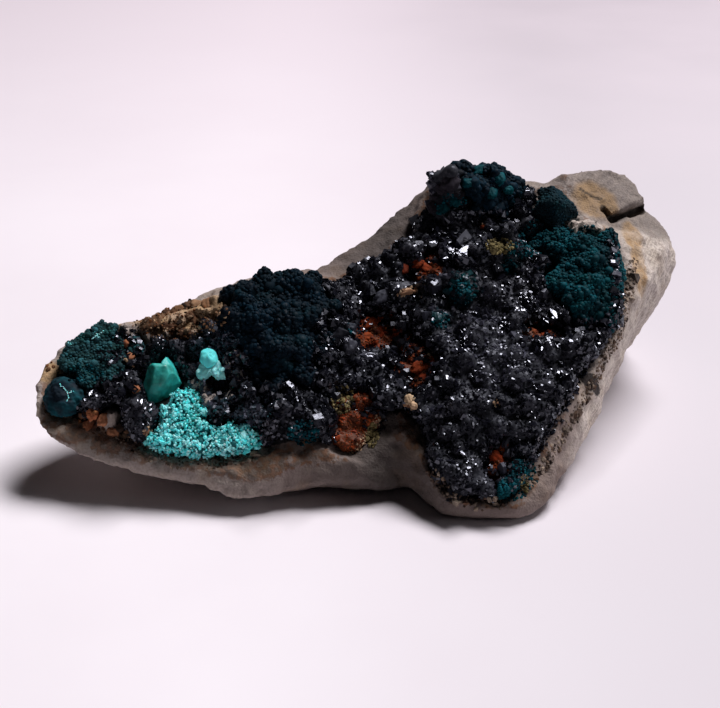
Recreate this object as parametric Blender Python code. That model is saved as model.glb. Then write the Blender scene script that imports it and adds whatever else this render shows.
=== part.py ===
"""Libethenite on dolomite, a hand specimen about 63 mm wide.

A wedge of dolomite carries a tilted face, on which dark crystals, teal botryoidal lumps, green and
turquoise copper minerals and rusty earth grow side by side. Sizes are in millimetres in the tables
below and in metres in the scene, with +Z up. X runs along the specimen, Y from its front to its back,
and the origin is under the middle of its box, on the surface it rests on.
"""

import math
import random
from typing import NamedTuple, Optional

import bmesh
import bpy
from mathutils import Vector, noise
from mathutils.geometry import delaunay_2d_cdt

MM = 0.001
SEED = 7

# Driving dimensions, in millimetres. The crystal face is a plane that leans back from the front lobe.
ORIGIN_X = 1.5
ORIGIN_Y = 0.1
FACE_TILT = math.radians(33.0)
FACE_FOOT_Y = -19.2
FACE_FOOT_Z = 2.5

# Growth on the face: one cell for each crystal, laid out as an irregular honeycomb.
CELL_PITCH = 2.0
CELL_JITTER = 0.31
PAIR_SHARE = 0.25
CRUST_DEPTH = 0.9
PIECE_GAP = 0.3
RIM_MARGIN = 0.35
LEAST_CELL_AREA = 0.7
LEAST_PIECE_CELLS = 3

# The matrix: steps between two stations, and the roughness of its broken walls.
STEPS_PER_STATION = 2
FRONT_ROUGHNESS = 0.45
BACK_ROUGHNESS = 2.6
BACK_BEGINS_Y = 4.0
BACK_BLEND = 9.0
WALL_GRAIN = 0.23


class Station(NamedTuple):
    """One place round the specimen: rim on the face plane, then points down the broken wall."""

    rim: tuple
    waist: tuple
    foot: tuple
    brow: Optional[tuple] = None


class Swell(NamedTuple):
    """A smooth rise or hollow of the whole face, with its centre, radii and height."""

    p: float
    q: float
    radius_p: float
    radius_q: float
    height: float


class Spot(NamedTuple):
    """An ellipse on the face."""

    p: float
    q: float
    radius_p: float
    radius_q: float


class Growth(NamedTuple):
    """One mineral piece: where it grows, its form, the height of its grains and its colour."""

    name: str
    form: str
    height: float
    material: str
    spots: tuple


# Rims are (p, q) on the face plane, p along X and q up the slope. The other points are (x, y, z).
STATIONS = (
    # Left tip and front of the arm, whose lower edge hangs over the surface
    Station((-29.0, 11.5), (-29.9, -11.6, 7.4), (-27.6, -9.5, 6.0)),
    Station((-28.2, 8.7), (-29.2, -12.9, 6.3), (-27.2, -11.2, 5.0)),
    Station((-25.9, 8.5), (-26.8, -13.9, 5.0), (-25.0, -12.3, 3.9)),
    Station((-23.0, 7.3), (-22.9, -14.8, 4.1), (-22.2, -13.0, 3.0)),
    Station((-18.3, 4.9), (-18.9, -15.6, 3.1), (-18.2, -13.6, 2.1)),
    Station((-14.9, 4.4), (-14.0, -16.5, 2.4), (-14.0, -14.4, 1.5)),
    Station((-11.4, 4.5), (-9.8, -17.1, 1.9), (-10.2, -14.8, 1.0)),
    Station((-7.2, 5.6), (-5.6, -16.3, 2.0), (-6.0, -14.2, 0.8)),
    Station((-3.7, 6.1), (-1.8, -15.7, 2.1), (-2.2, -13.7, 0.5)),
    # Crevice and notch between the arm and the front lobe
    Station((-0.5, 4.9), (0.9, -15.3, 2.1), (0.6, -13.2, 0.0)),
    Station((1.8, 7.9), (2.9, -15.0, 1.9), (2.8, -12.8, 0.0)),
    Station((3.6, 9.3), (4.3, -14.7, 1.6), (4.6, -12.6, 0.0)),
    Station((5.0, 7.3), (5.5, -15.8, 0.9), (5.7, -14.4, 0.0)),
    # Front lobe, thin at its tip
    Station((6.3, 3.2), (6.6, -17.5, 0.9), (7.0, -16.4, 0.0)),
    Station((8.0, 0.8), (8.3, -18.7, 0.9), (8.7, -17.6, 0.0)),
    Station((12.1, 0.0), (12.3, -19.1, 0.9), (12.3, -18.0, 0.0)),
    Station((14.5, 1.3), (15.6, -18.4, 0.9), (15.0, -17.3, 0.0)),
    # Right flank, flaring outwards above an undercut
    Station((16.0, 3.8), (17.7, -15.9, 1.3), (16.5, -14.8, 0.0)),
    Station((17.9, 7.4), (19.6, -11.9, 2.6), (17.8, -11.2, 0.0)),
    Station((19.9, 11.3), (21.7, -8.3, 3.8), (19.2, -7.2, 0.0)),
    Station((22.5, 14.8), (24.0, -4.7, 5.2), (20.6, -3.0, 0.0)),
    Station((25.2, 19.4), (27.3, 1.0, 8.2), (23.0, 2.2, 0.0)),
    Station((26.4, 23.8), (29.9, 5.0, 10.0), (25.2, 6.8, 0.0)),
    # Pale blocks at the upper right, split by a step
    Station((26.2, 26.4), (32.3, 9.4, 12.2), (26.8, 10.4, 0.0), (29.6, 5.6, 14.4)),
    Station((25.4, 28.6), (32.9, 12.4, 13.4), (27.4, 13.6, 0.0), (31.6, 10.4, 16.2)),
    Station((24.2, 30.2), (31.6, 15.6, 13.6), (26.6, 16.8, 0.0), (29.9, 13.2, 17.2)),
    Station((22.6, 31.2), (29.8, 17.2, 15.0), (25.2, 18.2, 0.0), (29.2, 12.8, 19.0)),
    Station((21.2, 33.2), (27.8, 18.4, 15.8), (22.8, 18.9, 0.0), (27.6, 14.6, 20.7)),
    Station((19.9, 34.6), (24.0, 18.2, 15.8), (19.8, 18.9, 0.0), (23.0, 13.4, 22.0)),
    Station((17.0, 35.0), (19.4, 17.4, 15.4), (16.6, 18.4, 0.0), (18.8, 11.8, 21.2)),
    # Back wall
    Station((13.4, 36.4), (13.4, 16.6, 14.8), (12.0, 18.0, 0.0)),
    Station((8.0, 36.2), (7.0, 15.8, 13.4), (6.4, 16.8, 0.0), (6.4, 12.4, 19.5)),
    Station((6.0, 32.0), (4.2, 14.2, 13.0), (3.2, 15.2, 0.0), (3.8, 10.6, 18.2)),
    Station((4.3, 28.9), (1.4, 11.6, 12.4), (0.2, 12.8, 0.0), (1.6, 8.2, 17.1)),
    Station((1.0, 26.2), (-2.0, 9.2, 11.4), (-3.2, 9.9, 0.4), (-1.6, 6.0, 15.9)),
    # Back of the arm, which hangs over the surface
    Station((-2.7, 23.8), (-5.4, 6.9, 10.2), (-6.8, 7.0, 1.2), (-4.6, 4.2, 15.0)),
    Station((-6.4, 23.5), (-9.6, 5.2, 9.5), (-10.5, 4.6, 1.9)),
    Station((-10.9, 22.8), (-14.2, 3.5, 8.8), (-14.2, 2.6, 2.6)),
    Station((-14.6, 21.0), (-18.6, 1.8, 8.4), (-18.0, 0.6, 3.2)),
    Station((-20.0, 19.4), (-23.0, -0.6, 8.0), (-21.8, -1.8, 3.8)),
    Station((-25.4, 18.6), (-27.0, -2.8, 8.4), (-25.0, -4.2, 4.6)),
    Station((-28.3, 15.8), (-29.6, -6.4, 8.2), (-27.3, -6.8, 5.4)),
)

# Points on the arm's underside, from its tip to the sole
ARM_KEEL = (
    (-24.4, -8.4, 4.7),
    (-20.2, -9.6, 2.5),
    (-19.0, -4.2, 3.7),
    (-14.6, -8.6, 1.9),
    (-12.6, -2.0, 2.5),
    (-8.8, -8.6, 0.7),
    (-7.6, -1.4, 1.2),
)

SWELLS = (
    Swell(-8.4, 18.6, 6.0, 6.6, 2.6),
    Swell(-6.5, 9.0, 3.6, 2.8, 0.7),
    Swell(1.6, 17.5, 2.6, 5.0, -1.1),
    Swell(12.0, 12.5, 5.5, 6.0, 1.5),
    Swell(10.0, 24.0, 3.5, 4.0, 0.7),
    Swell(11.4, 33.8, 4.4, 2.8, 2.5),
    Swell(19.0, 31.6, 2.2, 2.2, 1.2),
    Swell(21.8, 23.2, 3.4, 5.0, 1.2),
    Swell(-27.2, 10.6, 2.2, 2.4, 0.5),
    Swell(-20.5, 10.5, 4.0, 3.0, 0.7),
    Swell(0.2, 6.6, 2.2, 2.8, -0.9),
)

# A cell belongs to the first growth whose ellipse holds its middle, and else to the druse.
GROWTHS = (
    Growth("tip_knob", "lump", 1.5, "azure_crust", (Spot(-27.1, 10.5, 2.0, 2.3),)),
    Growth("malachite_lump", "lump", 2.1, "malachite", (Spot(-18.3, 12.2, 2.0, 2.7),)),
    Growth("chrysocolla_nodule", "lump", 1.3, "chrysocolla", (Spot(-13.7, 13.4, 1.6, 1.8),)),
    Growth(
        "chrysocolla_crust",
        "botryoidal",
        0.6,
        "chrysocolla",
        (Spot(-15.7, 8.6, 2.2, 1.8), Spot(-11.3, 6.1, 2.9, 2.2), Spot(-16.2, 5.6, 2.6, 1.8)),
    ),
    Growth("velvet_arm_crust", "botryoidal", 0.6, "teal_velvet", (Spot(-24.7, 14.8, 4.0, 3.2),)),
    Growth(
        "dolomite_matrix",
        "granular",
        0.5,
        "dolomite",
        (Spot(-17.4, 19.4, 4.8, 2.4), Spot(-24.3, 8.4, 1.7, 1.2), Spot(-13.4, 12.2, 2.4, 3.0)),
    ),
    Growth("botryoidal_mound", "botryoidal", 0.8, "teal_botryoidal", (Spot(-8.1, 17.0, 5.8, 7.0),)),
    Growth("limonite_crevice", "granular", 0.5, "limonite", (Spot(-0.2, 8.2, 2.4, 3.8),)),
    Growth("limonite_upper", "granular", 0.5, "limonite", (Spot(1.8, 17.7, 2.4, 2.4),)),
    Growth("limonite_middle", "granular", 0.5, "limonite", (Spot(5.4, 13.8, 1.8, 2.0),)),
    Growth("limonite_ridge", "granular", 0.5, "limonite", (Spot(6.7, 24.6, 1.5, 1.8),)),
    Growth("limonite_flank", "granular", 0.6, "limonite", (Spot(17.0, 17.2, 1.4, 1.4),)),
    Growth("limonite_lobe", "granular", 0.5, "limonite", (Spot(12.3, 4.2, 1.4, 1.3),)),
    Growth("botryoidal_crown", "botryoidal", 0.9, "teal_botryoidal", (Spot(12.4, 33.8, 3.5, 3.4),)),
    Growth("velvet_knob", "lump", 1.6, "teal_velvet", (Spot(18.8, 31.6, 2.3, 2.4),)),
    Growth(
        "botryoidal_flank",
        "botryoidal",
        0.7,
        "teal_botryoidal",
        (Spot(22.2, 23.4, 3.6, 5.8), Spot(18.4, 27.6, 2.2, 1.8)),
    ),
    Growth("botryoidal_fringe", "botryoidal", 0.6, "teal_velvet", (Spot(14.6, 2.2, 1.5, 2.2),)),
)

DRUSE = Growth("libethenite_druse", "crystals", 1.15, "libethenite", ())
ARM_DRUSE = Growth("libethenite_arm_druse", "crystals", 1.15, "libethenite", ())
BARE_MATRIX = Growth("dolomite_matrix", "granular", 0.5, "dolomite", ())
ARM_END_P = -13.0

# The tall dark crystal left of the crown, and how much the tallest grains stand above the others.
PEAK = Spot(8.0, 33.2, 1.3, 1.3)
PEAK_HEIGHT = 2.6
TALL_SHARE = 0.12
TABLE_SHARE = 0.4
TALL_HEIGHT = 1.8

# Base colour, roughness and metallic value of each material
FINISHES = {
    "dolomite": ((0.33, 0.28, 0.23, 1.0), 0.85, 0.0),
    "libethenite": ((0.012, 0.020, 0.022, 1.0), 0.12, 0.0),
    "teal_botryoidal": ((0.010, 0.060, 0.070, 1.0), 0.45, 0.0),
    "teal_velvet": ((0.012, 0.085, 0.085, 1.0), 0.6, 0.0),
    "azure_crust": ((0.008, 0.050, 0.070, 1.0), 0.4, 0.0),
    "malachite": ((0.020, 0.230, 0.170, 1.0), 0.3, 0.0),
    "chrysocolla": ((0.110, 0.560, 0.520, 1.0), 0.55, 0.0),
    "limonite": ((0.360, 0.110, 0.030, 1.0), 0.9, 0.0),
}


def face_point(p, q, h):
    """The point at (p, q) on the face plane, raised by h along its normal, in millimetres."""
    y = FACE_FOOT_Y + q * math.cos(FACE_TILT) - h * math.sin(FACE_TILT)
    z = FACE_FOOT_Z + q * math.sin(FACE_TILT) + h * math.cos(FACE_TILT)
    return Vector((p - ORIGIN_X, y - ORIGIN_Y, z))


def placed(point):
    """A point of a station, moved so that the origin is under the middle of the specimen."""
    return Vector((point[0] - ORIGIN_X, point[1] - ORIGIN_Y, point[2]))


def swell_height(p, q):
    """The height of the whole face's slow relief at (p, q)."""
    total = 0.0
    for swell in SWELLS:
        reach = ((p - swell.p) / swell.radius_p) ** 2 + ((q - swell.q) / swell.radius_q) ** 2
        total += swell.height * math.exp(-reach ** 1.6)
    return total


def spline(values, index, t):
    """A closed Catmull-Rom curve through the values, read at index + t."""
    count = len(values)
    a, b, c, d = (values[(index + k) % count] for k in (-1, 0, 1, 2))
    bend = 2 * a - 5 * b + 4 * c - d
    return 0.5 * (2 * b + (c - a) * t + bend * t * t + (3 * b - a - 3 * c + d) * t ** 3)


def refined(values):
    """The closed curve with STEPS_PER_STATION points for each value."""
    steps = [k / STEPS_PER_STATION for k in range(STEPS_PER_STATION)]
    return [spline(values, index, t) for index in range(len(values)) for t in steps]


def rim_outline():
    """The crust's edge as (p, q) points, counterclockwise."""
    return refined([Vector(station.rim) for station in STATIONS])


def signed_area(points):
    """The area inside a 2-D outline, positive if it runs counterclockwise."""
    pairs = zip(points, points[1:] + points[:1])
    return 0.5 * sum(a.x * b.y - b.x * a.y for a, b in pairs)


def inside(point, outline):
    """Whether a 2-D point is inside a closed outline."""
    crossings = 0
    for a, b in zip(outline, outline[1:] + outline[:1]):
        if (a.y > point.y) != (b.y > point.y):
            x = a.x + (point.y - a.y) * (b.x - a.x) / (b.y - a.y)
            crossings += x > point.x
    return crossings % 2 == 1


def nearest_on(point, outline):
    """The nearest point of a closed outline, and the inward direction there."""
    best = None
    for a, b in zip(outline, outline[1:] + outline[:1]):
        run = b - a
        t = min(1.0, max(0.0, (point - a).dot(run) / run.length_squared))
        foot = a + run * t
        distance = (point - foot).length
        if best is None or distance < best[0]:
            best = (distance, foot, Vector((-run.y, run.x)).normalized())
    return best


class Honeycomb:
    """Irregular cells that cover the crystal face up to its rim.

    corners maps a key to the (p, q) place of a corner, and cells maps a site to its corner keys,
    counterclockwise.
    """

    RING = ((1, 0), (0, 1), (-1, 1), (-1, 0), (0, -1), (1, -1))

    def __init__(self, outline, rng):
        self.outline = outline
        self.sites = self.scattered_sites(rng)
        self.corners = {}
        self.cells = {}
        kept = {site for site, place in self.sites.items() if self.is_kept(place)}
        for site in sorted(kept):
            self.cells[site] = self.corner_keys(site)
        self.pull_edge_to_rim(kept)
        self.drop_poor_cells()

    def scattered_sites(self, rng):
        """Jittered points of a triangular lattice that reaches past the rim on all sides."""
        row = CELL_PITCH * math.sqrt(3) / 2
        sites = {}
        for j in range(-3, 26):
            for i in range(-32, 20):
                jump = Vector((rng.uniform(-1, 1), rng.uniform(-1, 1))) * CELL_JITTER * CELL_PITCH
                sites[i, j] = Vector((CELL_PITCH * (i + j / 2), row * j)) + jump
        return sites

    def is_kept(self, place):
        """Whether a site lies far enough inside the rim to carry a crystal."""
        return inside(place, self.outline) and nearest_on(place, self.outline)[0] > 0.42 * CELL_PITCH

    def corner_keys(self, site):
        """The six corners of a site's cell, each the middle of three neighbouring sites."""
        around = [(site[0] + i, site[1] + j) for i, j in self.RING]
        keys = []
        for first, second in zip(around, around[1:] + around[:1]):
            key = tuple(sorted((site, first, second)))
            self.corners[key] = sum((self.sites[name] for name in key), Vector((0, 0))) / 3
            keys.append(key)
        return keys

    def pull_edge_to_rim(self, kept):
        """Moves the outermost corners to the rim, and joins those that come too close."""
        moved = []
        for key in sorted(self.corners):
            if all(site in kept for site in key):
                continue
            _, foot, inward = nearest_on(self.corners[key], self.outline)
            place = foot + inward * RIM_MARGIN
            twin = next((name for name in moved if (self.corners[name] - place).length < 0.45), None)
            if twin:
                self.replace_corner(key, twin)
            else:
                self.corners[key] = place
                moved.append(key)

    def replace_corner(self, old, new):
        """Makes every cell use another corner in place of one."""
        del self.corners[old]
        for site, keys in self.cells.items():
            renamed = [new if key == old else key for key in keys]
            self.cells[site] = [key for n, key in enumerate(renamed) if key != renamed[n - 1]]

    def drop_poor_cells(self):
        """Leaves out cells that the rim has squeezed flat or turned over."""
        for site, keys in list(self.cells.items()):
            places = [self.corners[key] for key in keys]
            bent = len(set(keys)) < len(keys)
            if bent or len(keys) < 4 or signed_area(places) < LEAST_CELL_AREA:
                del self.cells[site]
        used = {key for keys in self.cells.values() for key in keys}
        self.corners = {key: place for key, place in self.corners.items() if key in used}

    def middle(self, site):
        """The mean of a cell's corners."""
        places = [self.corners[key] for key in self.cells[site]]
        return sum(places, Vector((0, 0))) / len(places)

    def neighbours(self, site):
        """The cells that share an edge with this one."""
        around = [(site[0] + i, site[1] + j) for i, j in self.RING]
        return [other for other in around if other in self.cells]


def growth_at(place):
    """The growth whose ellipse holds a place of the face."""
    for growth in GROWTHS:
        for spot in growth.spots:
            reach = ((place.x - spot.p) / spot.radius_p) ** 2 + ((place.y - spot.q) / spot.radius_q) ** 2
            if reach < 1:
                return growth
    return DRUSE


def connected_groups(comb, sites):
    """The sites in groups of touching cells, the largest first."""
    left = set(sites)
    groups = []
    while left:
        group = {min(left)}
        edge = list(group)
        while edge:
            for other in comb.neighbours(edge.pop()):
                if other in left and other not in group:
                    group.add(other)
                    edge.append(other)
        left -= group
        groups.append(group)
    return sorted(groups, key=lambda group: (-len(group), min(group)))


def share_out(comb):
    """Gives each cell to one growth, so that each piece is one group of touching cells."""
    owner = {site: growth_at(comb.middle(site)) for site in comb.cells}
    for growth in GROWTHS + (DRUSE,):
        if growth.name == BARE_MATRIX.name:
            continue
        sites = [site for site in owner if owner[site] is growth]
        for number, group in enumerate(connected_groups(comb, sites)):
            if number == 0:
                continue
            on_arm = all(comb.middle(site).x < ARM_END_P for site in group)
            is_arm = growth is DRUSE and on_arm and len(group) >= LEAST_PIECE_CELLS
            for site in group:
                owner[site] = ARM_DRUSE if is_arm else BARE_MATRIX
    keep_largest_arm(comb, owner)
    return owner


def keep_largest_arm(comb, owner):
    """Leaves the arm's druse one group, and gives the rest back to the matrix."""
    sites = [site for site in owner if owner[site] is ARM_DRUSE]
    for group in connected_groups(comb, sites)[1:]:
        for site in group:
            owner[site] = BARE_MATRIX


class Skin:
    """The outer surface of one piece, built cell by cell on its corner vertices."""

    def __init__(self, mesh, comb, corner_vertex, rng):
        self.mesh = mesh
        self.comb = comb
        self.corner_vertex = corner_vertex
        self.rng = rng

    def vertex(self, place, height):
        """A new vertex above the slow relief of the face."""
        return self.mesh.verts.new(face_point(place.x, place.y, swell_height(*place) + height) * MM)

    def fan(self, ring, tip):
        """Closes a ring of vertices to one tip."""
        for a, b in zip(ring, ring[1:] + ring[:1]):
            self.mesh.faces.new((a, b, tip))

    def band(self, lower, upper):
        """Joins two rings of the same count."""
        for n in range(len(lower)):
            self.mesh.faces.new((lower[n - 1], lower[n], upper[n], upper[n - 1]))

    def raised_ring(self, places, middle, share, height, slope):
        """The outline drawn in towards its middle, raised, and tilted by a slope."""
        ring = []
        for place in places:
            spot = middle + (place - middle) * share
            ring.append(self.vertex(spot, height + (spot - middle).dot(slope)))
        return ring

    def dome(self, ring, places, height):
        """A round lump on a ring."""
        middle = sum(places, Vector((0, 0))) / len(places)
        middle += (places[0] - middle) * self.rng.uniform(-0.2, 0.2)
        slope = Vector((self.rng.uniform(-0.2, 0.2), self.rng.uniform(-0.2, 0.2)))
        upper = self.raised_ring(places, middle, self.rng.uniform(0.55, 0.7), height * 0.8, slope)
        self.band(ring, upper)
        self.fan(upper, self.vertex(middle, height))

    def lumps(self, ring, places, height, rounded=True):
        """Small lumps, round or pointed, that share one cell."""
        middle = sum(places, Vector((0, 0))) / len(places)
        middle += (places[0] - middle) * self.rng.uniform(-0.3, 0.3)
        hub = self.vertex(middle, height * 0.25)
        count = len(ring)
        first = self.rng.choice((0, 1))
        starts = [first, first + 2, first + 4] if count == 6 else [first, first + 2]
        for number, start in enumerate(starts):
            end = starts[number + 1] if number + 1 < len(starts) else count + first
            index = [n % count for n in range(start, end + 1)]
            edge = [ring[n] for n in index] + [hub]
            spots = [places[n] for n in index] + [middle]
            if rounded:
                self.dome(edge, spots, height * self.rng.uniform(0.75, 1.25))
            else:
                tip = sum(spots, Vector((0, 0))) / len(spots)
                self.fan(edge, self.vertex(tip, height * self.rng.uniform(0.5, 1.6)))

    def table(self, ring, places, height):
        """A crystal that ends in one flat tilted face."""
        middle = sum(places, Vector((0, 0))) / len(places)
        slope = Vector((self.rng.uniform(-0.7, 0.7), self.rng.uniform(-0.7, 0.7)))
        upper = self.raised_ring(places, middle, self.rng.uniform(0.5, 0.72), height, slope)
        self.band(ring, upper)
        self.mesh.faces.new(upper)

    def ridge(self, ring, places, height):
        """A crystal that ends in a ridge, like a tent."""
        middle = sum(places, Vector((0, 0))) / len(places)
        angle = self.rng.uniform(0, math.pi)
        along = Vector((math.cos(angle), math.sin(angle)))
        side = [(place - middle).dot(along) > 0 for place in places]
        tilt = self.rng.uniform(-0.25, 0.25)
        reach = 0.26 * CELL_PITCH
        ends = {True: self.vertex(middle + along * reach, height * (1 + tilt))}
        ends[False] = self.vertex(middle - along * reach, height * (1 - tilt))
        for n in range(len(ring)):
            self.mesh.faces.new((ring[n - 1], ring[n], ends[side[n]]))
            if side[n] != side[n - 1]:
                self.mesh.faces.new((ring[n - 1], ends[side[n]], ends[side[n - 1]]))

    def crystal(self, ring, places, height):
        """A crystal of a random height and end, with upright prism faces if it is tall."""
        middle = sum(places, Vector((0, 0))) / len(places)
        size = height * self.rng.uniform(0.55, 1.25)
        near_peak = math.hypot(middle.x - PEAK.p, middle.y - PEAK.q) < PEAK.radius_p
        if near_peak or self.rng.random() < TALL_SHARE:
            size = PEAK_HEIGHT if near_peak else TALL_HEIGHT
            share = 0.86
            slope = Vector((self.rng.uniform(-0.3, 0.3), self.rng.uniform(-0.3, 0.3)))
            upper = self.raised_ring(places, middle, share, size * 0.55, slope)
            self.band(ring, upper)
            ring = upper
            places = [middle + (place - middle) * share for place in places]
        if self.rng.random() < TABLE_SHARE or len(ring) > 6:
            self.table(ring, places, size)
        else:
            self.ridge(ring, places, size)


def lump_profile(growth, place):
    """How high a single large lump stands at a place of its ellipse."""
    spot = growth.spots[0]
    reach = math.hypot((place.x - spot.p) / spot.radius_p, (place.y - spot.q) / spot.radius_q)
    return growth.height * math.sqrt(max(0.0, 1 - min(reach, 0.97) ** 2))


def edge_corners(comb, sites):
    """The corners of a group of cells that other cells or the rim also touch."""
    counts = {}
    for site in sites:
        for key in comb.cells[site]:
            counts[key] = counts.get(key, 0) + 1
    return {key for key, count in counts.items() if count < 3}


def drawn_in(comb, sites, key):
    """A corner's place, moved into its own piece by half the gap."""
    own = [comb.middle(site) for site in sites if key in comb.cells[site]]
    place = comb.corners[key]
    inward = sum(own, Vector((0, 0))) / len(own) - place
    return place + inward.normalized() * PIECE_GAP * 0.62


def grow_piece(comb, growth, sites, rng):
    """The closed mesh of one mineral piece: underside, edge walls and grains."""
    mesh = bmesh.new()
    on_edge = edge_corners(comb, sites)
    places = {}
    for site in sorted(sites):
        for key in comb.cells[site]:
            places[key] = drawn_in(comb, sites, key) if key in on_edge else comb.corners[key]
    low = {}
    top = {}
    for key, place in places.items():
        base = face_point(place.x, place.y, swell_height(*place) - CRUST_DEPTH)
        low[key] = mesh.verts.new(base * MM)
        rise = lump_profile(growth, place) if growth.form == "lump" and key not in on_edge else 0.0
        height = swell_height(*place) + rise + rng.uniform(-0.08, 0.08)
        top[key] = mesh.verts.new(face_point(place.x, place.y, height) * MM)
    skin = Skin(mesh, comb, top, rng)
    for site in sorted(sites):
        keys = comb.cells[site]
        mesh.faces.new([low[key] for key in reversed(keys)])
    for keys in grain_outlines(comb, growth, sites, rng):
        cover_cell(skin, growth, [top[key] for key in keys], [places[key] for key in keys])
    close_walls(mesh, comb, sites, low, top)
    return mesh


def grain_outlines(comb, growth, sites, rng):
    """The corner keys round each grain: a cell, or a pair of cells for a larger crystal."""
    outlines = []
    left = set(sites)
    for site in sorted(sites):
        if site not in left:
            continue
        left.remove(site)
        partners = [other for other in comb.neighbours(site) if other in left]
        if growth.form != "crystals" or not partners or rng.random() > PAIR_SHARE:
            outlines.append(comb.cells[site])
            continue
        partner = rng.choice(partners)
        left.remove(partner)
        outlines.append(joined_outline(comb.cells[site], comb.cells[partner]))
    return outlines


def joined_outline(first, second):
    """The outline of two cells that share one edge."""
    start = next(n for n, key in enumerate(first) if key in second and first[n - 1] in second)
    around = first[start:] + first[:start]
    begin = second.index(around[-1])
    return around + (second[begin:] + second[:begin])[1:-1]


def cover_cell(skin, growth, ring, places):
    """Puts one cell's grains on its ring of corners."""
    if growth.form == "crystals":
        skin.crystal(ring, places, growth.height)
    elif growth.form == "botryoidal":
        skin.lumps(ring, places, growth.height)
    elif growth.form == "granular":
        skin.lumps(ring, places, growth.height, rounded=False)
    else:
        middle = sum(places, Vector((0, 0))) / len(places)
        skin.fan(ring, skin.vertex(middle, lump_profile(growth, middle) * 1.04 + 0.05))


def close_walls(mesh, comb, sites, low, top):
    """Walls between the underside and the grains, along the piece's edge."""
    edges = {}
    for site in sites:
        keys = comb.cells[site]
        for a, b in zip(keys, keys[1:] + keys[:1]):
            edges[a, b] = edges.get((a, b), 0) + 1
    for a, b in sorted(edges):
        if (b, a) not in edges:
            mesh.faces.new((low[a], low[b], top[b], top[a]))


def wall_rings():
    """The matrix's outer rings from the rim down to the foot, as lists of points."""
    rim = []
    brow = []
    waist = [placed(station.waist) for station in STATIONS]
    foot = [placed(station.foot) for station in STATIONS]
    for station, belt in zip(STATIONS, waist):
        p, q = station.rim
        edge = face_point(p, q, swell_height(p, q) - CRUST_DEPTH)
        rim.append(edge)
        if station.brow:
            brow.append(placed(station.brow))
        else:
            brow.append(Vector((*edge.xy.lerp(belt.xy, 0.6), edge.z + (belt.z - edge.z) * 0.2)))
    flank = []
    for upper, belt in zip(brow, waist):
        flank.append(Vector((*upper.xy.lerp(belt.xy, 0.75), upper.z + (belt.z - upper.z) * 0.5)))
    belly = []
    shin = []
    for belt, low in zip(waist, foot):
        belly.append(Vector((*belt.xy.lerp(low.xy, 0.2), belt.z + (low.z - belt.z) * 0.38)))
        shin.append(Vector((*belt.xy.lerp(low.xy, 0.55), belt.z + (low.z - belt.z) * 0.74)))
    return [refined(ring) for ring in (rim, brow, flank, waist, belly, shin, foot)]


def roughened(point, is_wall):
    """A wall point moved by seeded noise, as a broken surface is uneven."""
    backward = min(1.0, max(0.0, (point.y - BACK_BEGINS_Y) / BACK_BLEND)) * is_wall
    amount = FRONT_ROUGHNESS + (BACK_ROUGHNESS - FRONT_ROUGHNESS) * backward
    shifts = (Vector((SEED, 0, 0)), Vector((0, SEED, 0)), Vector((0, 0, SEED)))
    coarse = Vector([noise.noise(point * WALL_GRAIN + shift) for shift in shifts])
    fine = Vector([noise.noise(point * WALL_GRAIN * 2.7 - shift) for shift in shifts])
    return point + (coarse + fine * 0.45) * amount


def top_of_matrix(mesh, comb, owner, rim, rng):
    """The matrix's upper surface: flat beds under the growths, and its own bare grains."""
    outline = comb.outline
    keys = sorted(comb.corners)
    bare = {key for key in keys}
    for site, names in comb.cells.items():
        if owner[site].name != BARE_MATRIX.name:
            bare -= set(names)
    flat = outline + [comb.corners[key] for key in keys]
    index = {key: len(outline) + n for n, key in enumerate(keys)}
    sites = sorted(comb.cells)
    faces = [list(range(len(outline)))] + [[index[key] for key in comb.cells[site]] for site in sites]
    result = delaunay_2d_cdt(flat, [], faces, 1, 1e-5)
    points, triangles, origins, owners = result[0], result[2], result[3], result[5]
    vertex = []
    for place, origin in zip(points, origins):
        if origin and origin[0] < len(outline):
            vertex.append(rim[origin[0]])
            continue
        depth = CRUST_DEPTH + PIECE_GAP
        if origin and keys[origin[0] - len(outline)] in bare:
            depth = 0.25
        height = swell_height(place.x, place.y) - depth
        vertex.append(mesh.verts.new(face_point(place.x, place.y, height) * MM))
    placed_corner = {origin[0]: vertex[n] for n, origin in enumerate(origins) if origin}
    bare_face = {n + 1 for n, site in enumerate(sites) if owner[site].name == BARE_MATRIX.name}
    for triangle, sources in zip(triangles, owners):
        if not bare_face & set(sources):
            mesh.faces.new([vertex[n] for n in triangle])
    skin = Skin(mesh, comb, None, rng)
    for number in sorted(bare_face):
        keys_here = comb.cells[sites[number - 1]]
        ring = [placed_corner[index[key]] for key in keys_here]
        places = [comb.corners[key] for key in keys_here]
        skin.lumps(ring, places, BARE_MATRIX.height, rounded=False)


def grow_matrix(comb, owner, rng):
    """The dolomite: a broken wall round it, the bed of the crystal face, and its flat underside."""
    mesh = bmesh.new()
    rings = []
    for number, points in enumerate(wall_rings()):
        ring = []
        for point in points:
            moved = point if number in (0, 6) else roughened(point, number in (4, 5))
            ring.append(mesh.verts.new(Vector((moved.x, moved.y, max(moved.z, 0.0))) * MM))
        rings.append(ring)
    for upper, lower in zip(rings, rings[1:]):
        for n in range(len(upper)):
            mesh.faces.new((upper[n - 1], lower[n - 1], lower[n], upper[n]))
    top_of_matrix(mesh, comb, owner, rings[0], rng)
    close_underside(mesh, rings[-1])
    return mesh


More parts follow.
